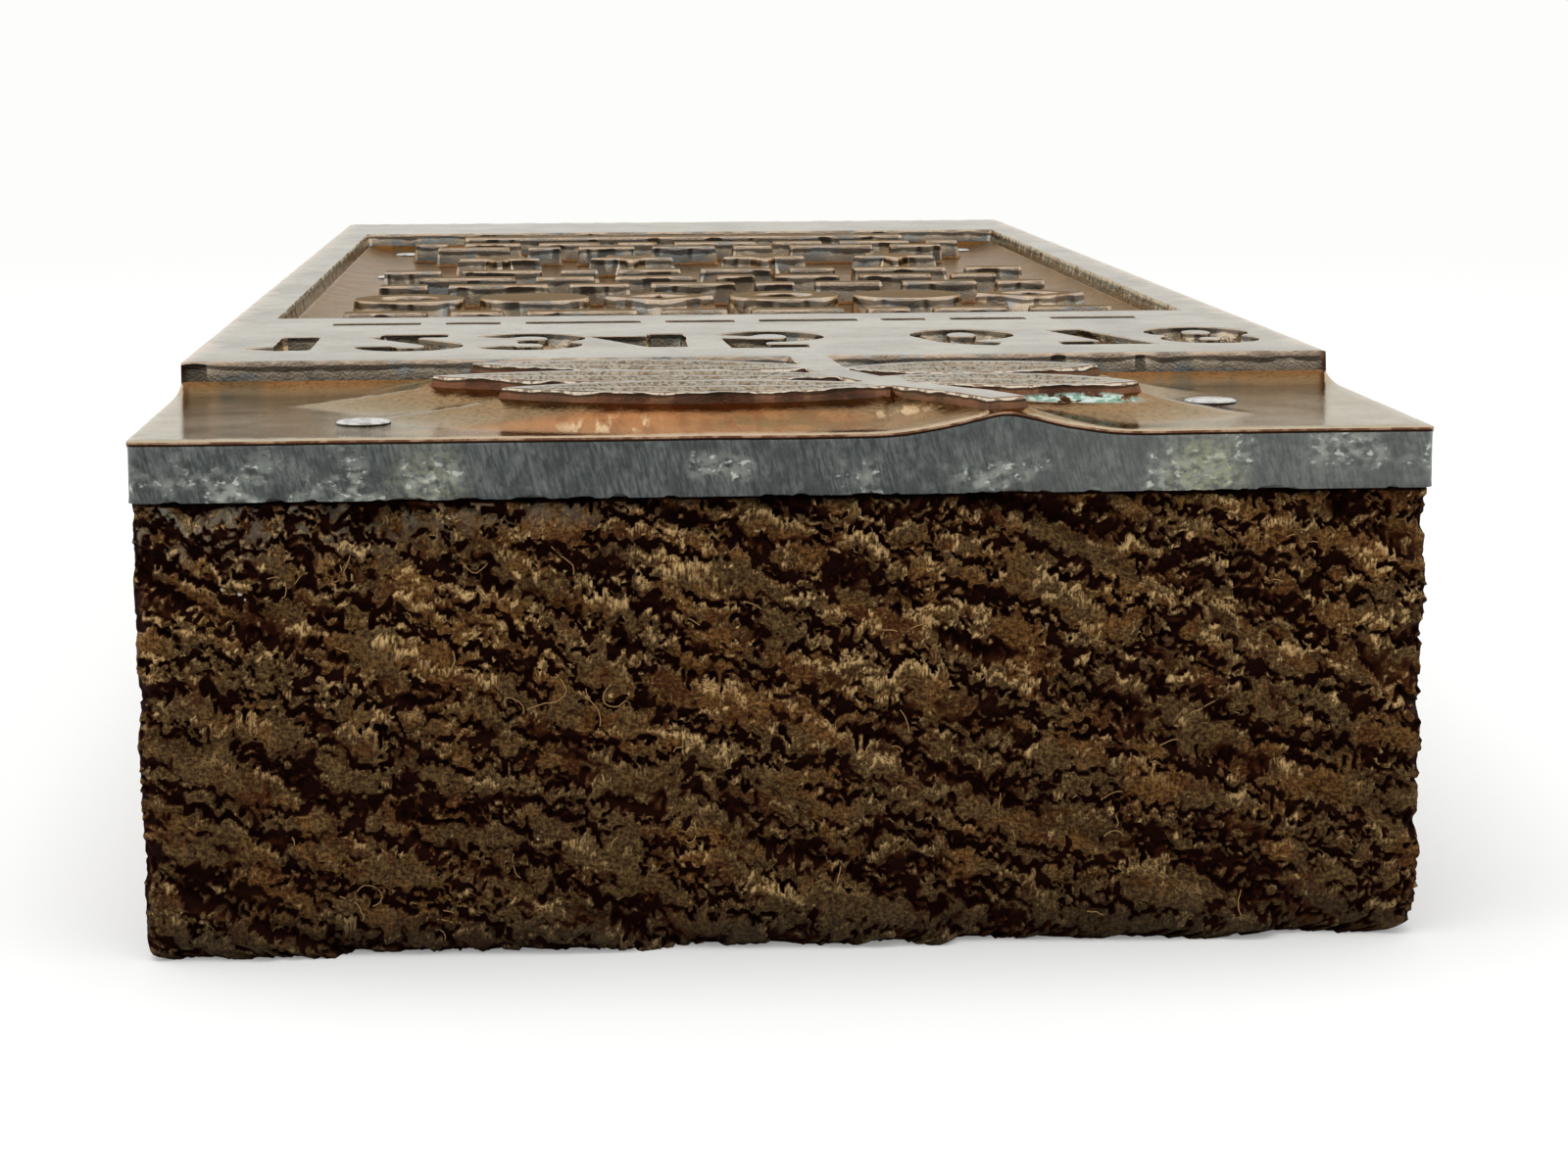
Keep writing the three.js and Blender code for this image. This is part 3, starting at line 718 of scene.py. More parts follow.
# %% Spray of leaves
# Root and tip of each leaf, and the stem's path: shares of the half width and the apron's depth
SPRAY = [
    ((0.1, 0.74), (-0.5, 0.9)),
    ((0.14, 0.54), (-0.56, 0.62)),
    ((0.2, 0.33), (-0.44, 0.35)),
    ((0.16, 0.5), (0.58, 0.34)),
    ((0.12, 0.7), (0.56, 0.72)),
]
STEM = [(0.34, 0.05), (0.3, 0.16), (0.18, 0.38), (0.1, 0.65), (0.08, 1.05)]
LEAF_WIDTH, STEM_WIDTH, APRON_DEPTH = 5.2, 1.8, 20


def on_apron(shares):
    return np.array([shares[0] * half_width, shares[1] * APRON_DEPTH - half_length])


leaves = []
for root, tip in SPRAY:
    start, end = on_apron(root), on_apron(tip)
    length = np.linalg.norm(end - start)
    radius = (length**2 + LEAF_WIDTH**2) / (4 * LEAF_WIDTH)
    aside = np.array([start[1] - end[1], end[0] - start[0]]) / length * (radius - LEAF_WIDTH / 2)
    middle = (start + end) / 2
    leaves.append((middle + aside, middle - aside, radius, [tuple(start), tuple(end)]))
stem_corners = stroke_corners([tuple(on_apron(shares)) for shares in STEM], STEM_WIDTH)
print(len(numeral_shapes), "numeral strokes,", len(raised_boxes), "raised dashes and bars")

# %% [markdown]
# Five fields describe the face: the frame, whose walls run out in a hollow foot, the leaves
# with a higher foot, plain raised figures, sunk figures, and the shallow hollows in the
# leaves. A little noise keeps the outlines from looking machined.

# %% Fields of the printing face
RAISED = ("footed", "leafy", "plain")


def spread(values):
    return np.minimum.reduce(values)


def face_fields(x, y):
    ragged = 0.035 * fractal_noise(x / 0.5, y / 0.5, 2, 101) + 0.03 * fractal_noise(x / 2.5, y / 2.5, 2, 105)
    panel = box_distance(x, y, -PANEL_HALF, PANEL_HALF, PANEL_NEAR, PANEL_FAR)
    frame_band = np.maximum(BAND_FRONT - y, -panel)
    stem = polygon_distance(x, y, stem_corners)
    blades = [np.maximum(disc_distance(x, y, a, r), disc_distance(x, y, b, r)) for a, b, r, _ in leaves]
    ribs = spread([path_distance(x, y, rib) for *_, rib in leaves]) - 0.22
    plain = [box_distance(x, y, *box) for box in raised_boxes]
    for i, cx in enumerate(ornament_x):
        if i % 3 == 2:
            lozenge = (abs(x - cx) + abs(y - panel_y(0.17)) - ORNAMENT_RADIUS) / math.sqrt(2)
            plain.append(np.maximum(lozenge, -RING_STROKE / math.sqrt(2) - lozenge))
        else:
            disc = disc_distance(x, y, (cx, panel_y(0.17)), ORNAMENT_RADIUS)
            plain.append(np.maximum(disc, -RING_STROKE - disc) if i % 3 == 0 else disc)
    for cx in star_x:
        plain.append(polygon_distance(x, y, [(cx + dx, panel_y(0.62) + dy) for dx, dy in star]))
    cuts = [box_distance(x, y, *box) for box in sunk_dashes]
    for path, closed in numeral_shapes:
        if closed:
            cuts.append(path_distance(x, y, path, True) - NUMERAL_STROKE / 2)
        else:
            cuts.append(polygon_distance(x, y, path))
    leaf_hollow = np.maximum.reduce([spread(blades) + 0.5, -ribs, 0.5 - stem])
    return {
        "footed": frame_band + ragged,
        "leafy": np.minimum(spread(blades), stem) + ragged,
        "plain": spread(plain) + ragged,
        "cut": spread(cuts) + ragged,
        "leaf_hollow": leaf_hollow + ragged,
    }


def nearest(fields):
    return np.maximum(spread([fields[key] for key in RAISED]), -fields["cut"])

# %% [markdown]
# Lines of equal distance are traced on a grid, at each bend of the wall's profile. A plane
# triangulation then joins these lines with loose points between them. That puts vertices just
# where the surface bends, and far fewer of them than an even grid would need.

# %% Trace contours


def contour(x_lines, y_lines, values, level):
    """Points where the values cross a level on the grid's lines, and the links between them."""
    above = values > level
    points, keys = [], {}
    for axis, (di, dj) in enumerate(((0, 1), (1, 0))):
        a, b = values[: values.shape[0] - di, : values.shape[1] - dj], values[di:, dj:]
        i, j = np.nonzero((a > level) != (b > level))
        t = np.clip((level - a[i, j]) / (b[i, j] - a[i, j]), 0.001, 0.999)
        px = x_lines[j] + t * dj * (x_lines[np.minimum(j + 1, len(x_lines) - 1)] - x_lines[j])
        py = y_lines[i] + t * di * (y_lines[np.minimum(i + 1, len(y_lines) - 1)] - y_lines[i])
        sides = zip([axis] * len(i), i.tolist(), j.tolist())
        keys.update(zip(sides, range(len(points), len(points) + len(i))))
        points += list(zip(px, py))
    links = []
    corner_count = above[:-1, :-1].astype(int) + above[1:, :-1] + above[:-1, 1:] + above[1:, 1:]
    for i, j in zip(*(index.tolist() for index in np.nonzero((corner_count > 0) & (corner_count < 4)))):
        sides = [keys.get(side) for side in ((0, i, j), (1, i, j + 1), (0, i + 1, j), (1, i, j))]
        hit = [side for side in sides if side is not None]
        links += [hit] if len(hit) == 2 else [hit[:2], hit[2:]] if above[i, j] != above[i, j + 1] else []
    return points, links


def lines_between(low, high, step):
    return np.linspace(low, high, round((high - low) / step) + 1)

# %% [markdown]
# The apron lies right in front of the camera, so it is traced on a finer grid than the rest.
# Loose points fill the spaces between the lines, and none of them comes too near to a line.

# %% Lines and loose points
WALL_BENDS = [-0.2, -0.06, 0.0, 0.12, 0.3, 0.6, 1.1, 1.9, 3.2, 4.2]
ZONE_BORDER = -47.5
# The apron is traced finely and the rest coarsely: lowest and highest Y, the grid's step, the
# spacing of the loose points, and the bends that are traced
ZONES = [
    (-half_length, ZONE_BORDER, 0.14, 0.42, WALL_BENDS[:6]),
    (ZONE_BORDER, half_length, 0.3, 1.0, WALL_BENDS[1:5]),
]
points, links, levels = [], [], []
rng = np.random.default_rng(5)
for y_low, y_high, step, spacing, bends in ZONES:
    x_lines, y_lines = lines_between(-half_width, half_width, step), lines_between(y_low, y_high, step)
    grid_x, grid_y = np.meshgrid(x_lines, y_lines)
    fields = face_fields(grid_x, grid_y)
    for level, values in [(bend, nearest(fields)) for bend in bends] + [(None, fields["leaf_hollow"])]:
        found_points, found_links = contour(x_lines, y_lines, values, level or 0.0)
        links += [(a + len(points), b + len(points)) for a, b in found_links]
        points += found_points
        levels += [np.nan if level is None else level] * len(found_points)
    loose_x = lines_between(0.3 - half_width, half_width - 0.3, spacing)
    loose_y = lines_between(y_low + 0.2, y_high - 0.2, spacing)
    loose = np.stack(np.meshgrid(loose_x, loose_y), -1).reshape(-1, 2)
    loose += rng.uniform(-0.3, 0.3, loose.shape) * spacing
    loose = loose[(abs(loose[:, 0]) < half_width - 0.1) & (abs(loose[:, 1]) < half_length - 0.1)]
    gap = np.min([abs(nearest(face_fields(*loose.T)) - bend) for bend in bends], axis=0)
    loose = loose[gap > 0.05]
    points += [tuple(p) for p in loose]
    levels += [np.nan] * len(loose)
print(len(points), "points,", len(links), "links")

# %% [markdown]
# The shell and the casting have to share one clean rim. So stops are set round the plate's
# edge, closest in front where the camera looks, and one triangulation weaves rim, contours and
# loose points together.

# %% Weave the face


def along_rim(x, y):
    """Distance walked round the plate's edge, from its near left corner."""
    near, right_edge, far_edge = y < 1e-6 - half_length, x > half_width - 1e-6, y > half_length - 1e-6
    walks = [x + half_width, 2 * half_width + y + half_length, 3 * half_width + 2 * half_length - x]
    return np.select([near, right_edge, far_edge], walks, 4 * half_width + 3 * half_length - y)


RIM_LENGTH = 4 * (half_width + half_length)
traced = np.array(points)
on_rim = np.isclose(abs(traced[:, 0]), half_width) | np.isclose(abs(traced[:, 1]), half_length)
taken = along_rim(*traced[on_rim].T)
corners = [0, 2 * half_width, 2 * (half_width + half_length), 4 * half_width + 2 * half_length]
near_stops, other_stops = lines_between(0, 2 * half_width, 0.14), np.arange(2 * half_width, RIM_LENGTH, 0.4)
walk = np.unique(np.concatenate([corners, near_stops, other_stops]))
walk = walk[[w in corners or np.min(abs(taken - w)) > 0.04 for w in walk]]
stops = np.array(corners + [RIM_LENGTH])
rim_x = np.interp(walk, stops, [-half_width, half_width, half_width, -half_width, -half_width])
rim_y = np.interp(walk, stops, [-half_length, -half_length, half_length, half_length, -half_length])
points += list(zip(rim_x, rim_y))
levels += [np.nan] * len(walk)
order = np.concatenate([np.flatnonzero(on_rim), np.arange(len(traced), len(points))])
order = order[np.argsort(np.concatenate([taken, walk]))]
woven = delaunay_2d_cdt([Vector(p) for p in points], links, [order.tolist()], 1, 1e-5)
face_xy = np.array(woven[0])
face_triangles = np.array([f for f in woven[2] if len(f) == 3])
first_source = [sources[0] if sources else -1 for sources in woven[3]]
face_levels = np.array(levels + [np.nan])[first_source]
print("face:", len(face_xy), "vertices,", len(face_triangles), "triangles")

# %% [markdown]
# The wall's profile turns distance into height. A raised figure falls steeply and meets the
# floor in a small fillet, and the footed ones run out in a wide hollow, as the wax did in the
# mould. Where the stem reached the plate's edge, the hollow foot was sawn through: it shows as
# a small hill in the edge.

# %% Raise the face
RISES = {
    "plain": [1, 0.99, 0.88, 0.13, 0.04, 0.005, 0, 0, 0, 0],
    "footed": [1, 0.99, 0.86, 0.31, 0.25, 0.185, 0.11, 0.045, 0, 0],
    "leafy": [1, 0.995, 0.94, 0.64, 0.59, 0.52, 0.42, 0.28, 0.1, 0],
}
CUT_DEPTH = [0, 0, 0.04, 0.84, 0.95, 1, 1, 1, 1, 1]
EDGE_DROP, CORNER_RADIUS = 0.05, 0.5
HILL = {"x": 9.0, "height": 1.25, "reach": 6.0, "depth": 3.4}


def face_height(x, y, fields):
    rise = np.maximum.reduce([np.interp(fields[key], WALL_BENDS, RISES[key]) for key in RAISED])
    lip_wave = np.clip(1 - abs(spread([fields[key] for key in RAISED])) / 0.06, 0, 1)
    rise = rise + 0.12 * lip_wave * fractal_noise(x / 1.2, y / 1.2, 3, 125)
    flank = np.clip(1 - np.sqrt((x - HILL["x"]) ** 2 + 0.8) / HILL["reach"], 0, 1) ** 2.2
    hill = HILL["height"] * flank * np.clip(1 - (y + half_length) / HILL["depth"], 0, 1) ** 0.7
    wavy = 0.02 * fractal_noise(x / 3.1, y / 3.1, 2, 121)
    low = floor_z + np.clip(0.02 + wavy, 0, None) * (1 - rise)
    z = np.maximum(low + hill, floor_z + RELIEF * rise)
    z = z - 0.16 * smooth_step(0.06, -0.18, fields["leaf_hollow"])
    on_leaf = smooth_step(0.1, -0.5, fields["leaf_hollow"])
    z -= on_leaf * 0.05 * (1 + fractal_noise(x / 0.45, y / 0.45, 2, 131))
    sink = np.where(y < PANEL_NEAR - 8, NUMERAL_SINK, DASH_SINK)
    sunk = type_height - sink * np.interp(-fields["cut"], WALL_BENDS, CUT_DEPTH)
    worn = 0.012 * (1 + fractal_noise(x / 1.3, y / 1.3, 3, 141))
    return np.minimum(z, sunk) - np.where(z > floor_z + 0.5 * RELIEF, worn, 0)


def settle_rim(place):
    """Rounds the plate's corners and lets its edges wander a little."""
    half = np.array([[half_width], [half_length]])
    past = np.clip(abs(place) - half + CORNER_RADIUS, 0, None)
    pull = np.where(past[0] * past[1] > 0, past.max(0) / np.maximum(np.hypot(*past), 1e-9), 1)
    place = np.sign(place) * (abs(place) - past + past * pull)
    nicks = [fractal_noise(place[1 - k] / 1.9, np.sign(place[k]), 3, 151 + 4 * k) for k in (0, 1)]
    near_edge = smooth_step(half - 0.9, half, abs(place))
    return place - np.sign(place) * (0.03 + 0.03 * np.array(nicks)) * near_edge


fields = face_fields(*face_xy.T)
slip = np.where(np.isnan(face_levels), 0, face_levels - nearest(fields))
fields.update({key: fields[key] + slip for key in RAISED}, cut=fields["cut"] - slip)
to_edge = np.minimum(half_width - abs(face_xy[:, 0]), half_length - abs(face_xy[:, 1]))
face_z = face_height(*face_xy.T, fields) - EDGE_DROP * smooth_step(0.25, 0.0, to_edge)
face_wall = np.clip(nearest(fields), -0.3, 1)
is_leaf = smooth_step(0.3, -0.3, fields["leaf_hollow"])
face = np.stack([*settle_rim(face_xy.T), face_z], 1)
print("face height", face_z.min().round(3), "to", face_z.max().round(3))

# %% [markdown]
# The shell, the solder film and the casting follow the same relief, so all three use the woven
# face at three depths. Each gets its own edge: the shell a thin one, the casting a sawn one.

# %% Copper shell mesh


def rim_loop(triangles):
    """The open edge of a woven sheet, as vertex numbers in walking order."""
    sides = np.concatenate([triangles[:, [0, 1]], triangles[:, [1, 2]], triangles[:, [2, 0]]])
    known = set(map(tuple, sides.tolist()))
    following = {a: b for a, b in known if (b, a) not in known}
    loop = [min(following)]
    while following[loop[-1]] != loop[0]:
        loop.append(following[loop[-1]])
    return np.array(loop)


def band_of_quads(upper, lower):
    return np.stack([np.roll(upper, -1), upper, lower, np.roll(lower, -1)], -1).tolist()


EDGE_THINNING = 0.1
count = len(face)
rim = rim_loop(face_triangles)
shell_faces = face_triangles.tolist() + (face_triangles[:, ::-1] + count).tolist()
shell_faces += band_of_quads(rim, rim + count)
thinned = EDGE_THINNING * smooth_step(0.6, 0.0, to_edge)
lowered = face - np.outer(shell_thickness - thinned, [0, 0, 1])
at_edge = smooth_step(0.5, 0.1, to_edge)
shell_values = {"wall": np.tile(face_wall, 2), "leaf": np.tile(is_leaf, 2), "edge": np.tile(at_edge, 2)}
shell_values["under"] = np.repeat([0.0, 1.0], count)
shell_mesh = mesh_from("copper_face", np.vstack([face, lowered]), shell_faces, shell_values)
shell_mesh.shade_smooth()
shell_mesh.set_sharp_from_angle(angle=math.radians(18))
link_object("copper_face", shell_mesh, "copper", "copper_shell")
print("copper face:", len(shell_faces), "faces, rim", len(rim))

# %% [markdown]
# The casting's edge was cut with a circular saw and left as it came off. Its marks are upright
# and lean a little, the lower edge carries a torn burr, and here and there a crumb broke out.

# %% Backing plate mesh
EDGE_SHARES = [0.0, 0.05, 0.12, 0.2, 0.3, 0.4, 0.5, 0.6, 0.7, 0.8, 0.88, 0.94, 1.0]
SAW_LEAN = 0.25
casting_top = lowered - [0, 0, solder_film]
top_rim = casting_top[rim]
ahead_xy = np.roll(top_rim, -1, 0)[:, :2] - np.roll(top_rim, 1, 0)[:, :2]
ahead_xy /= np.linalg.norm(ahead_xy, axis=1)[:, None]
outward = np.stack([ahead_xy[:, 1], -ahead_xy[:, 0], np.zeros(len(rim))], 1)
walked = np.concatenate([[0], np.cumsum(np.linalg.norm(np.diff(top_rim[:, :2], axis=0), axis=1))])
burr = 0.2 * smooth_step(-0.1, 0.7, fractal_noise(walked / 0.7, 0 * walked, 4, 161))
edge_rings = []
for share in EDGE_SHARES:
    z = top_rim[:, 2] + share * (plate_low[2] + burr - top_rim[:, 2])
    lean = walked - SAW_LEAN * (z - plate_low[2])
    depth = 0.02 + 0.025 * (1 + fractal_noise(lean / 0.28, z / 6, 3, 171)) * smooth_step(0, 0.06, share)
    depth += 0.05 * smooth_step(0.45, 0.9, fractal_noise(lean / 0.6, z / 0.5, 3, 175))
    depth -= 0.03 * smooth_step(0.9, 1.0, share)
    edge_rings.append(np.column_stack([(top_rim - outward * depth[:, None])[:, :2], z]))
under = edge_rings[-1] * [1 - 0.5 / half_width, 1 - 0.5 / half_length, 0] + [0, 0, plate_low[2]]
edge_rings.append(under)
plate_faces = face_triangles.tolist()
upper = rim
for k in range(len(edge_rings)):
    lower = count + k * len(rim) + np.arange(len(rim))
    plate_faces += band_of_quads(upper, lower)
    upper = lower
bottom = np.array(tessellate_polygon([[Vector(p) for p in under]]))
a, b, c = (under[bottom[:, k], :2] for k in range(3))
faces_down = (b - a)[:, 0] * (c - a)[:, 1] - (b - a)[:, 1] * (c - a)[:, 0] < 0
bottom = np.where(faces_down[:, None], bottom, bottom[:, ::-1])
plate_faces += lower[bottom].tolist()
plate_mesh = mesh_from("cast_plate", np.vstack([casting_top, *edge_rings]), plate_faces)
link_object("cast_plate", plate_mesh, "type_metal", "backing_plate")
print("cast plate:", len(plate_faces), "faces")

# %% [markdown]
# Wire nails hold the plate down. Their heads were hammered flat against the floor and later
# rubbed, so each is a thin lens with a soft rim. They are turned shapes, made by one lathe
# function with more sides than the frame's simple ones.

# %% Nails
NAIL_SIDES, HEAD_STANDS, HEAD_THICKNESS = 48, 0.19, 0.26


def lathe(profile, sides):
    turns = np.arange(sides) * math.tau / sides
    rings = [[(r * math.cos(t), r * math.sin(t), z) for t in turns] for r, z in profile[1:-1]]
    vertices = [(0, 0, profile[0][1])] + [p for ring in rings for p in ring] + [(0, 0, profile[-1][1])]
    loops = [1 + k * sides + np.arange(sides) for k in range(len(rings))]
    faces = [[0, b, a] for a, b in zip(loops[0], np.roll(loops[0], -1))]
    for low, high in zip(loops, loops[1:]):
        faces += np.stack([low, np.roll(low, -1), np.roll(high, -1), high], -1).tolist()
    faces += [[len(vertices) - 1, a, b] for a, b in zip(loops[-1], np.roll(loops[-1], -1))]
    return vertices, [[int(v) for v in f] for f in faces]


nail_nodes = sorted(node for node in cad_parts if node.startswith("nail_"))
for index, node in enumerate(nail_nodes):
    nail_low, nail_high = box_mm(node)
    centre = (nail_low + nail_high) / 2
    head = (nail_high[0] - nail_low[0]) / 2
    tip, top = nail_low[2], floor_z + HEAD_STANDS
    low = top - HEAD_THICKNESS
    shank = [(0, tip), (0.12, tip + 0.3), (0.57, tip + 1.8), (0.6, tip + 2.2), (0.6, low)]
    brim = [(head - 0.1, low + 0.01), (head - 0.01, low + 0.07), (head, low + 0.11)]
    lens = [(head - 0.03, top - 0.1), (head - 0.12, top - 0.05), (head * 0.75, top - 0.03)]
    lens += [(head * 0.4, top - 0.005), (0, top)]
    vertices, faces = lathe(shank + brim + lens, NAIL_SIDES)
    vertices = np.array(vertices) + [centre[0], centre[1], 0]
    nail_mesh = mesh_from("wire_" + node, vertices, faces)
    nail_mesh.shade_smooth()
    link_object("wire_" + node, nail_mesh, "steel", node)
print(len(nail_nodes), "nails, head radius", round(head, 2), "mm")

# %% [markdown]
# A few loose fibres still hang from the torn wood. A hair system could grow them, but these lie
# flat and curl, so each is a thin tube along a random walk.

# %% Loose fibres
FIBRE_RADIUS, FIBRE_STEP, FIBRE_SIDES = 0.022, 0.2, 5
# The longest ones: X and Z of the root, first direction in degrees, number of steps
LONG_FIBRES = [
    (-9.7, 12.0, -50, 14), (-6.8, 10.8, 235, 10), (-7.9, 9.7, 80, 9), (-11.8, 10.6, 100, 8),
    (-17.5, 2.2, -10, 10), (-21.5, 16.1, 60, 8), (-14.2, 11.9, 60, 6), (-8.9, 16.1, 80, 8),
    (-17.9, 1.6, 90, 8), (4.5, 13.5, 40, 9), (15.2, 8.0, 120, 8),
]
calm_y = box_blur(front_y, 4)


def front_place(x, z, stand_off):
    i = int(np.clip(z / wood_top * (rows - 1), 0, rows - 1))
    j = int(np.clip((x + half_width) / (2 * half_width) * (columns - 1), 0, columns - 1))
    return [x, max(calm_y[i, j] - stand_off, 0.06 - half_length), z]


def tube(path, radius, sides):
    path = np.array(path)
    ahead = np.gradient(path, axis=0)
    ahead /= np.linalg.norm(ahead, axis=1)[:, None]
    aside = np.cross(ahead, [0, 1, 0])
    aside /= np.linalg.norm(aside, axis=1)[:, None]
    third = np.cross(ahead, aside)
    turns = np.arange(sides) * math.tau / sides
    rings = [path + radius * (math.cos(t) * aside + math.sin(t) * third) for t in turns]
    number = np.arange(len(path) * sides).reshape(len(path), sides)
    faces = [f for k in range(len(path) - 1) for f in band_of_quads(number[k], number[k + 1])]
    faces += [number[0].tolist(), number[-1, ::-1].tolist()]
    return np.stack(rings, 1).reshape(-1, 3), faces


rng = np.random.default_rng(12)
short_ones = [
    (rng.uniform(-24, 24), rng.uniform(1, 18.5), rng.uniform(0, 360), rng.integers(3, 7))
    for _ in range(40)
]
fibre_points, fibre_faces = [], []
for x, z, degrees, steps in LONG_FIBRES + short_ones:
    heading, curl, path = math.radians(degrees), rng.normal(0, 0.25), []
    for _ in range(int(steps) + 1):
        path.append(front_place(x, z, 0.12))
        heading += curl + rng.normal(0, 0.3)
        x, z = x + FIBRE_STEP * math.cos(heading), np.clip(z + FIBRE_STEP * math.sin(heading), 0.3, 19)
    spots, faces = tube(path, FIBRE_RADIUS, FIBRE_SIDES)
    fibre_faces += [[v + len(fibre_points) for v in face] for face in faces]
    fibre_points += spots.tolist()
fibre_mesh = mesh_from("wood_fibres", fibre_points, fibre_faces)
link_object("wood_fibres", fibre_mesh, "hardwood", "wood_base")

# %% [markdown]
# The crumbs are chalk that caught on the flakes. The nails' lathe turns a small lump for each,
# and random shares of the radius make it uneven.

# %% Chalk crumbs
# X, Z and radius
CRUMBS = [(-23.35, 15.65, 0.1), (-22.64, 15.48, 0.12), (-22.45, 15.2, 0.06), (-10.55, 4.94, 0.11),
          (-10.4, 5.2, 0.06), (-10.23, 14.22, 0.07), (-13.96, 18.6, 0.12), (-13.6, 18.75, 0.07)]
crumb_points, crumb_faces = [], []
for x, z, radius in CRUMBS:
    profile = [(0, -1), (0.6, -0.75), (1, 0), (0.7, 0.7), (0, 0.9)]
    spots, faces = lathe([(r * radius, h * radius) for r, h in profile], 7)
    spots = np.array(spots) * rng.uniform(0.75, 1.2, (len(spots), 3)) + front_place(x, z, 0.02)
    spots[:, 1] = np.maximum(spots[:, 1], 0.02 - half_length)
    crumb_faces += [[v + len(crumb_points) for v in face] for face in faces]
    crumb_points += spots.tolist()
crumb_mesh = mesh_from("chalk_crumbs", crumb_points, crumb_faces)
link_object("chalk_crumbs", crumb_mesh, "hardwood", "wood_base")
print(len(LONG_FIBRES) + len(short_ones), "fibres and", len(CRUMBS), "crumbs")

finishes = ((fibre_mesh, "wood fibre, dry and golden", "#b5905c"), (crumb_mesh, "chalk crumb", "#dedbd0"))
for mesh, name, hex_colour in finishes:
    add, place = start_material(name, mesh)
    add("OutputMaterial", add("BsdfPrincipled", named={"Base Color": hex_colour, "Roughness": 0.8}))

# %% [markdown]
# The copper was grown in a bath, then tarnished golden brown in the hollows. Seen this flatly
# any metal mirrors nearly all light, so the brown floor turns pale beige where it mirrors the
# white tent and stays brown where it mirrors a wall. Paint-like colours would lose that, so
# the shader is a real metal with a brown tint and little roughness.

# %% Copper material
DISH_LEAN = 0.0026
# Painted glints on the floor: centre in millimetres, and reach
GLINTS = [((-7.3, -68, 0), 3.2), ((5.4, -66.4, 0), 2.2)]

add, place = start_material("electroformed copper, tarnished brown, face rubbed pale", shell_mesh)
noise = partial(sized_noise, add, place)
across, along, height = (add("SeparateXYZ", place, out=axis) for axis in "XYZ")
names = ("wall", "leaf", "edge", "under")
wall, leaf, edge, under = (add("Attribute", attribute_name=name, out="Fac") for name in names)
up = surface_up(add)
upright = add("MapRange", up, 0.8, 0.2)
at_type_height = add("MapRange", height, (floor_z + 1.1) * MM, (type_height - 0.08) * MM)
on_face = all_of(add, at_type_height, add("MapRange", up, 0.5, 0.9))
leaf_top = all_of(add, leaf, on_face)
panel_ends = [add("MapRange", along, -0.0262, -0.025), add("MapRange", along, 0.0552, 0.0548)]
beside = add("Math", across, operation="ABSOLUTE")
in_panel = all_of(add, *panel_ends, add("MapRange", beside, 0.0247, 0.0243))
ahead_of_band = add("MapRange", along, (BAND_FRONT - 0.6) * MM, (BAND_FRONT - 0.9) * MM, 0.0, 0.95)

# %% [markdown]
# Each height of the relief has a colour of its own on the real block: the floor tarnished
# brown, the walls pale, the face rubbed pale. Each is mixed apart, and they are laid over each
# other at the end. Painted light is laid in too: a golden reflection with glints on the floor
# ahead of the leaves, a dark reddish painted shade on the walls ahead of the band, a painted
# highlight along each wall's lip with a painted dark line of shade under it, and a painted
# highlight along the top of the shell's edge.

# %% Copper colours
# The floor, with a painted golden reflection ahead of the leaves, and painted glints in it
golden_reflection_spot = near_spot(add, place, (-4, -68, 0), [0.6, 3, 0], 9, 4)
# Colours of the painted golden reflection, reddish towards the left
golden = lay_coats(
    add,
    "#b57c51",
    (noise(1.6), 0.42, 0.62, "#946a45"),
    (across, -0.0015, -0.006, "#c78254"),
    (noise(0.8, 4, (1, 6, 1)), 0.48, 0.64, 0, 0.6, "#9c5634"),
)
# Painted highlights, in upright streaks
glint_streaks = add("MapRange", noise(0.6, 2, (0.8, 5, 1)), 0.5, 0.64, 0, 0.9)
spots = [near_spot(add, place, centre, [1, 2, 0], reach, 0.4 * reach) for centre, reach in GLINTS]
floor_colour = lay_coats(
    add,
    "#ab8362",
    (noise(5), 0.4, 0.65, "#97785b"),
    (noise(2.4), 0.56, 0.72, 0, 0.4, "#a37f58"),
    (noise(0.25), 0.48, 0.66, 0, 0.6, "#5f4a33"),
    (noise(0.4), 0.58, 0.7, 0, 0.5, "#b39a7c"),
    (golden_reflection_spot, golden),
    *[(all_of(add, spot, glint_streaks), "#ffd9b0") for spot in spots],
)

# The walls are pale beside the panel, and painted a dark reddish brown ahead of the band, a painted shade
shaded_wall = lay_coats(add, "#4a2b19", (noise(0.9, 4, (2, 1, 1)), 0.42, 0.6, "#693a26"))
wall_patches = noise(1.1, 4, (2, 1, 1))
wall_coats_and_shade = (wall_patches, 0.5, 0.62, 0, 0.8, "#aab2b4"), (ahead_of_band, shaded_wall)
wall_colour = lay_coats(add, "#dcc8b0", *wall_coats_and_shade)

# The face was rubbed pale by paper, and the leaves hold dirt in their fine grain
face_coats = (noise(6), 0.4, 0.65, "#938878"), (noise(0.8), 0.52, 0.72, 0, 0.5, "#6f5f4e")
face_colour = lay_coats(add, "#aaa08f", *face_coats, (in_panel, "#836d54"))
leaf_coats = (noise(0.16), 0.46, 0.62, "#33261a"), (noise(0.9), 0.5, 0.7, 0, 0.4, "#5d4a36")
leaf_colour = lay_coats(add, "#c4b8a4", *leaf_coats)

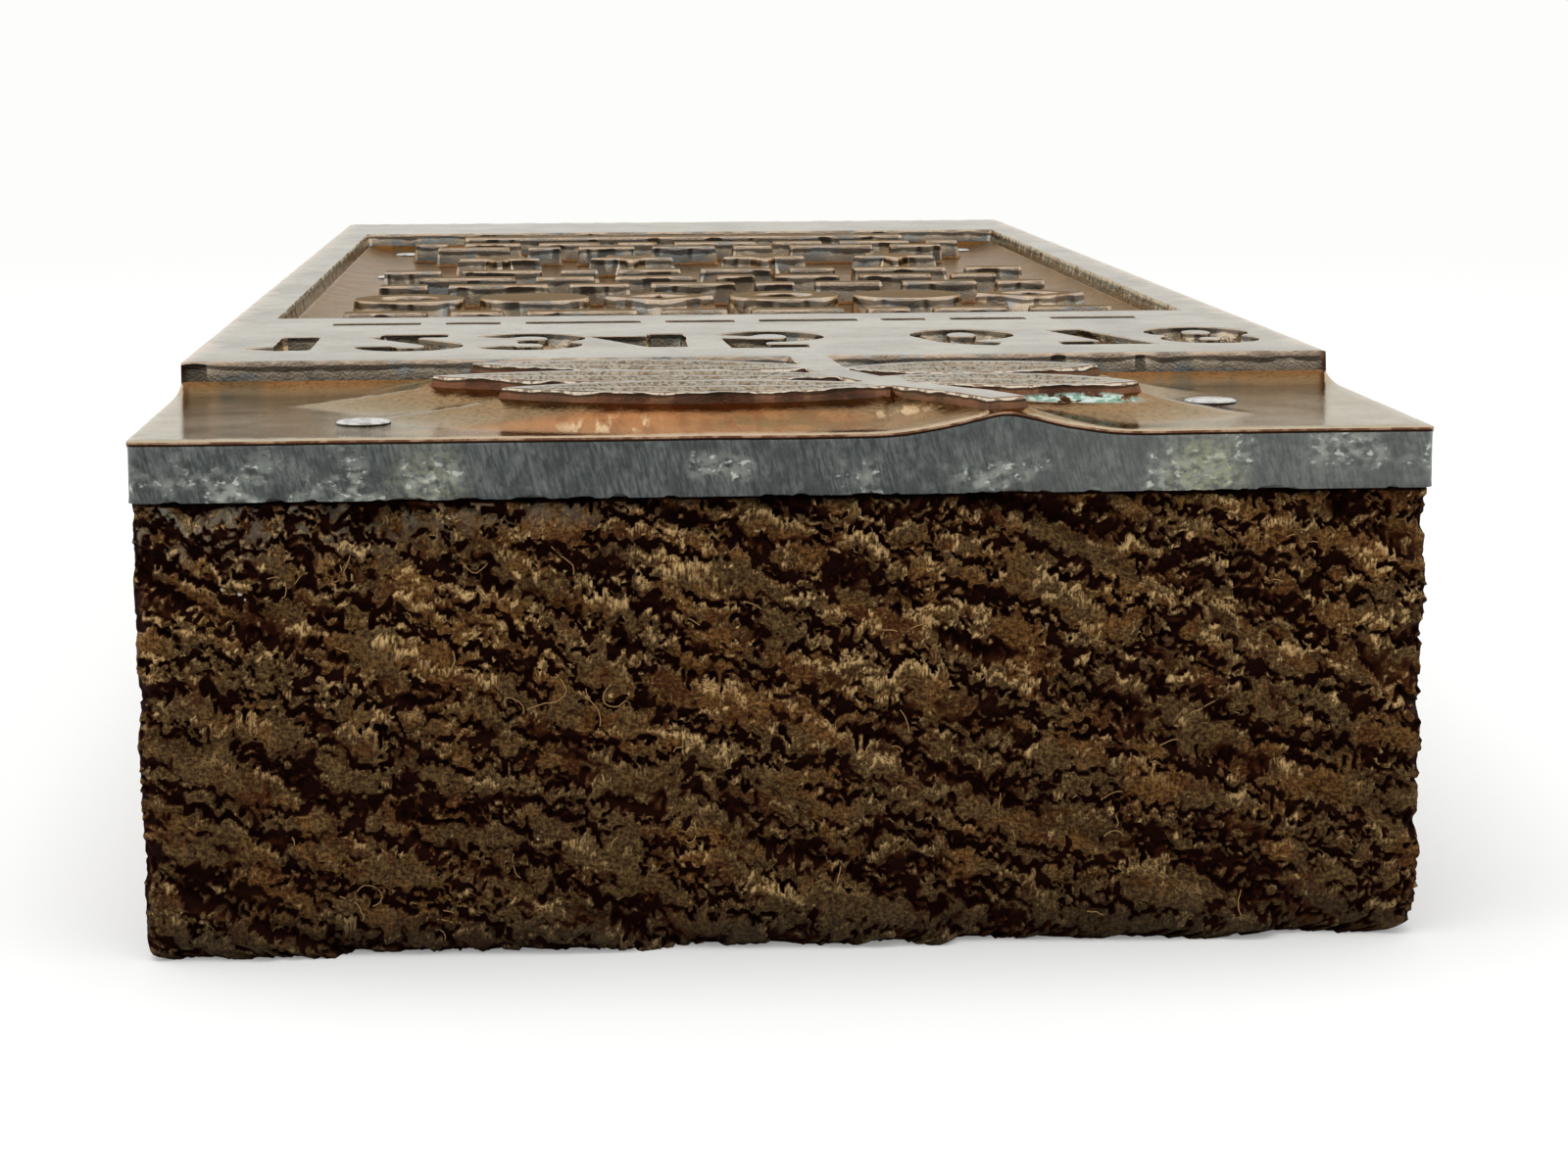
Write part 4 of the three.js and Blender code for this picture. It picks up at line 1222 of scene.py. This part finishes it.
# A painted highlight runs along the upper edge of each wall, with a painted dark line of shade under it
broken_lip_highlight = add("MapRange", noise(0.3, 3), 0.4, 0.52, 0.2, 0.85)
at_lip = [add("MapRange", wall, -0.055, -0.03), add("MapRange", wall, 0.006, 0.0)]
lip_highlight_colour = lay_coats(add, "#c9ad98", (ahead_of_band, "#eee2cf"))
wavy_wall = add("Math", noise(1.8), 0.08, wall, operation="MULTIPLY_ADD")
shade_below_lip = [add("MapRange", wall, 0.0, 0.006), add("MapRange", wavy_wall, 0.09, 0.07)]

# The shell's own edge is a thin line of cut copper, dark underneath, with a painted highlight on top
edge_coats = (noise(0.8), 0.42, 0.6, "#a8866c"), (under, 0.3, 0.75, "#2e1a10")
edge_side = all_of(add, edge, upright)
edge_top_highlight = add("Math", edge, edge_side, operation="SUBTRACT")

# Verdigris grew in the corner under one leaf
green_spot = near_spot(add, place, (12.8, -64.4, floor_z + 0.72), [0.4, 1.5, 4.5], 1.5, 0.8)
green = all_of(add, green_spot, add("MapRange", noise(0.8), 0.42, 0.47))

colour = lay_coats(
    add,
    floor_colour,
    (upright, wall_colour),
    (on_face, face_colour),
    (leaf_top, leaf_colour),
    # Painted highlight along the lips, and painted shade just under them
    (all_of(add, *at_lip, broken_lip_highlight), lip_highlight_colour),
    (all_of(add, *shade_below_lip, 0.8), "#3a2c20"),
    (edge_side, lay_coats(add, "#6e4c38", *edge_coats)),
    # Painted highlight along the top of the shell's edge
    (all_of(add, edge_top_highlight, 0.85), "#e6cfba"),
    (green, lay_coats(add, "#84ad99", (noise(0.3), 0.42, 0.58, "#d3e3d9"))),
)

# %% [markdown]
# Gloss is half of what makes copper look like copper. The floor is nearly a mirror, and the
# face is duller where paper rubbed it. In front of the band the metal is dished a little, which
# bends what it mirrors. There the normals lean instead of the mesh, and its floor stays flat.

# %% Copper gloss
roughness = add("MapRange", noise(2.2, 3), 0.35, 0.7, 0.05, 0.09)
for mask, rougher in ((on_face, 0.2), (in_panel, 0.14), (leaf_top, 0.15)):
    roughness = add("Math", mask, rougher, roughness, operation="MULTIPLY_ADD")
roughness = add("Math", roughness, all_of(add, green, 0.8), operation="MAXIMUM")

from_band = add("Math", BAND_FRONT * MM, along, operation="SUBTRACT")
lean = all_of(
    add,
    add("Math", from_band, 0.0, operation="MAXIMUM"),
    DISH_LEAN / MM,
    add("MapRange", across, 0.008, 0.02, 1.0, 0.55),
    add("MapRange", golden_reflection_spot, 0.0, 0.5, 1.0, 0.0),
    add("MapRange", height, (floor_z + 0.5) * MM, (floor_z + 0.2) * MM),
)
level = add("NewGeometry", out="Normal")
leaning = add("VectorMath", level, add("CombineXYZ", named={"Y": lean}), operation="ADD")
dished = add("VectorMath", leaning, operation="NORMALIZE")
grain_depth = add("MapRange", leaf_top, 0, 1, 0.02 * MM, 0.1 * MM)
relief = {"Height": noise(0.12, 3), "Strength": 0.5, "Distance": grain_depth, "Normal": dished}
sockets = {
    "Base Color": colour,
    "Metallic": add("Math", 1.0, green, operation="SUBTRACT"),
    "Roughness": roughness,
    "Specular Tint": lay_coats(add, "#dcd8c8", (on_face, "#ffffff"), (in_panel, "#bfae97")),
    "Normal": add("Bump", named=relief),
}
add("OutputMaterial", add("BsdfPrincipled", named=sockets))

# %% [markdown]
# The casting is a lead alloy with some antimony and tin. A saw left it bright, and air turned
# it blue grey with whitish and yellowish bloom, so it is half metal, half oxide.

# %% Type metal material
SAWN_END = -70
YELLOW_PATCHES = [(-14.8, 0.4), (17.3, 0.75)]

add, place = start_material("type metal, sawn, oxidised blue grey", plate_mesh)
noise = partial(sized_noise, add, place)
across, height = (add("SeparateXYZ", place, out=axis) for axis in "XZ")
leaning = add("Mapping", place, named={"Rotation": [0, 0.24, 0]})
leaning_noise = partial(sized_noise, add, leaning)
saw_grain = leaning_noise(0.15, 6, (1, 1, 4), 0.5)
vein = add("Math", leaning_noise(0.8, 4, (1, 1, 9), 0.3), 0.5, operation="SUBTRACT")

# Bloom took the lower edge, and the upper edge at the far right
bloom_share = noise(2.4)
for limits in ((-0.006, -0.019, 0, 0.11), (0.007, 0.018, 0, 0.12)):
    bloom_share = add("Math", bloom_share, add("MapRange", across, *limits), operation="ADD")
on_low_edge = add("MapRange", height, 0.0215, 0.0202, 0.25, 1.0)
on_high_edge = add("MapRange", height, 0.02, 0.0209, 0.15, 1.0)
far_right = add("MapRange", across, 0.0175, 0.0195)
on_edge = add("Mix", far_right, on_low_edge, on_high_edge, data_type="FLOAT")
bloomed = all_of(add, add("MapRange", bloom_share, 0.53, 0.7), on_edge)
bloom = all_of(add, bloomed, add("MapRange", noise(0.4, 6, (1.4, 1, 1)), 0.4, 0.62))
flecks = add("MapRange", noise(0.3, 6, (1.4, 1, 1)), 0.56, 0.66, 0, 0.85)
flecks = all_of(add, flecks, add("MapRange", bloomed, 0.15, 0.5))
patches = []
for centre, amount in YELLOW_PATCHES:
    scumble = add("MapRange", noise(0.22, 7, (1.4, 1, 1)), 0.4, 0.62, 0.1 * amount, 0.75 * amount)
    spot = near_spot(add, place, (centre, SAWN_END, 20.1), [1, 1, 1], 2.4, 0.7)
    patches.append((all_of(add, spot, scumble), "#b7b692"))
colour = lay_coats(
    add,
    "#434949",
    (saw_grain, 0.3, 0.7, "#717472"),
    (noise(1.1, 6), 0.42, 0.64, 0, 0.6, "#3c4040"),
    (leaning_noise(0.3, 6, (1, 1, 20), 0.2), 0.58, 0.7, 0, 0.5, "#2a2e2f"),
    (add("Math", vein, operation="ABSOLUTE"), 0.02, 0.0, 0, 0.5, "#2c3031"),
    (across, 0.002, 0.016, 0, 0.22, "#979a94"),
    (all_of(add, bloom, 0.85), "#abb0a6"),
    (flecks, "#d6d9d0"),
    *patches,
)
bloom = add("Math", bloom, flecks, operation="MAXIMUM")
pitted = add("Math", saw_grain, noise(0.3), operation="ADD")
sockets = {
    "Base Color": colour,
    "Metallic": add("MapRange", bloom, 0, 1, 0.5, 0.05),
    "Roughness": add("MapRange", bloom, 0, 1, 0.45, 0.8),
    "Normal": add("Bump", named={"Height": pitted, "Strength": 0.6, "Distance": 0.06 * MM}),
}
add("OutputMaterial", add("BsdfPrincipled", named=sockets))

# %% [markdown]
# The nails are drawn steel wire. Hammering polished the heads, and damp dulled them again.

# %% Steel material
nail_meshes = [bpy.data.meshes["wire_" + node] for node in nail_nodes]
add, place = start_material("drawn steel wire, dull grey", *nail_meshes)
noise = partial(sized_noise, add, place)
# The sides of the heads are painted dark brown, a painted shade, so the floor mirrors a dark crescent under
# each head
steel_and_side_shade_coats = (noise(0.4), 0.4, 0.65, "#a8a5a0"), (surface_up(add), 0.75, 0.35, "#4a3f34")
sockets = {"Base Color": lay_coats(add, "#dbd9d6", *steel_and_side_shade_coats), "Metallic": 1.0}
sockets["Roughness"] = add("MapRange", noise(0.3, 3), 0.3, 0.7, 0.18, 0.35)
add("OutputMaterial", add("BsdfPrincipled", named=sockets))
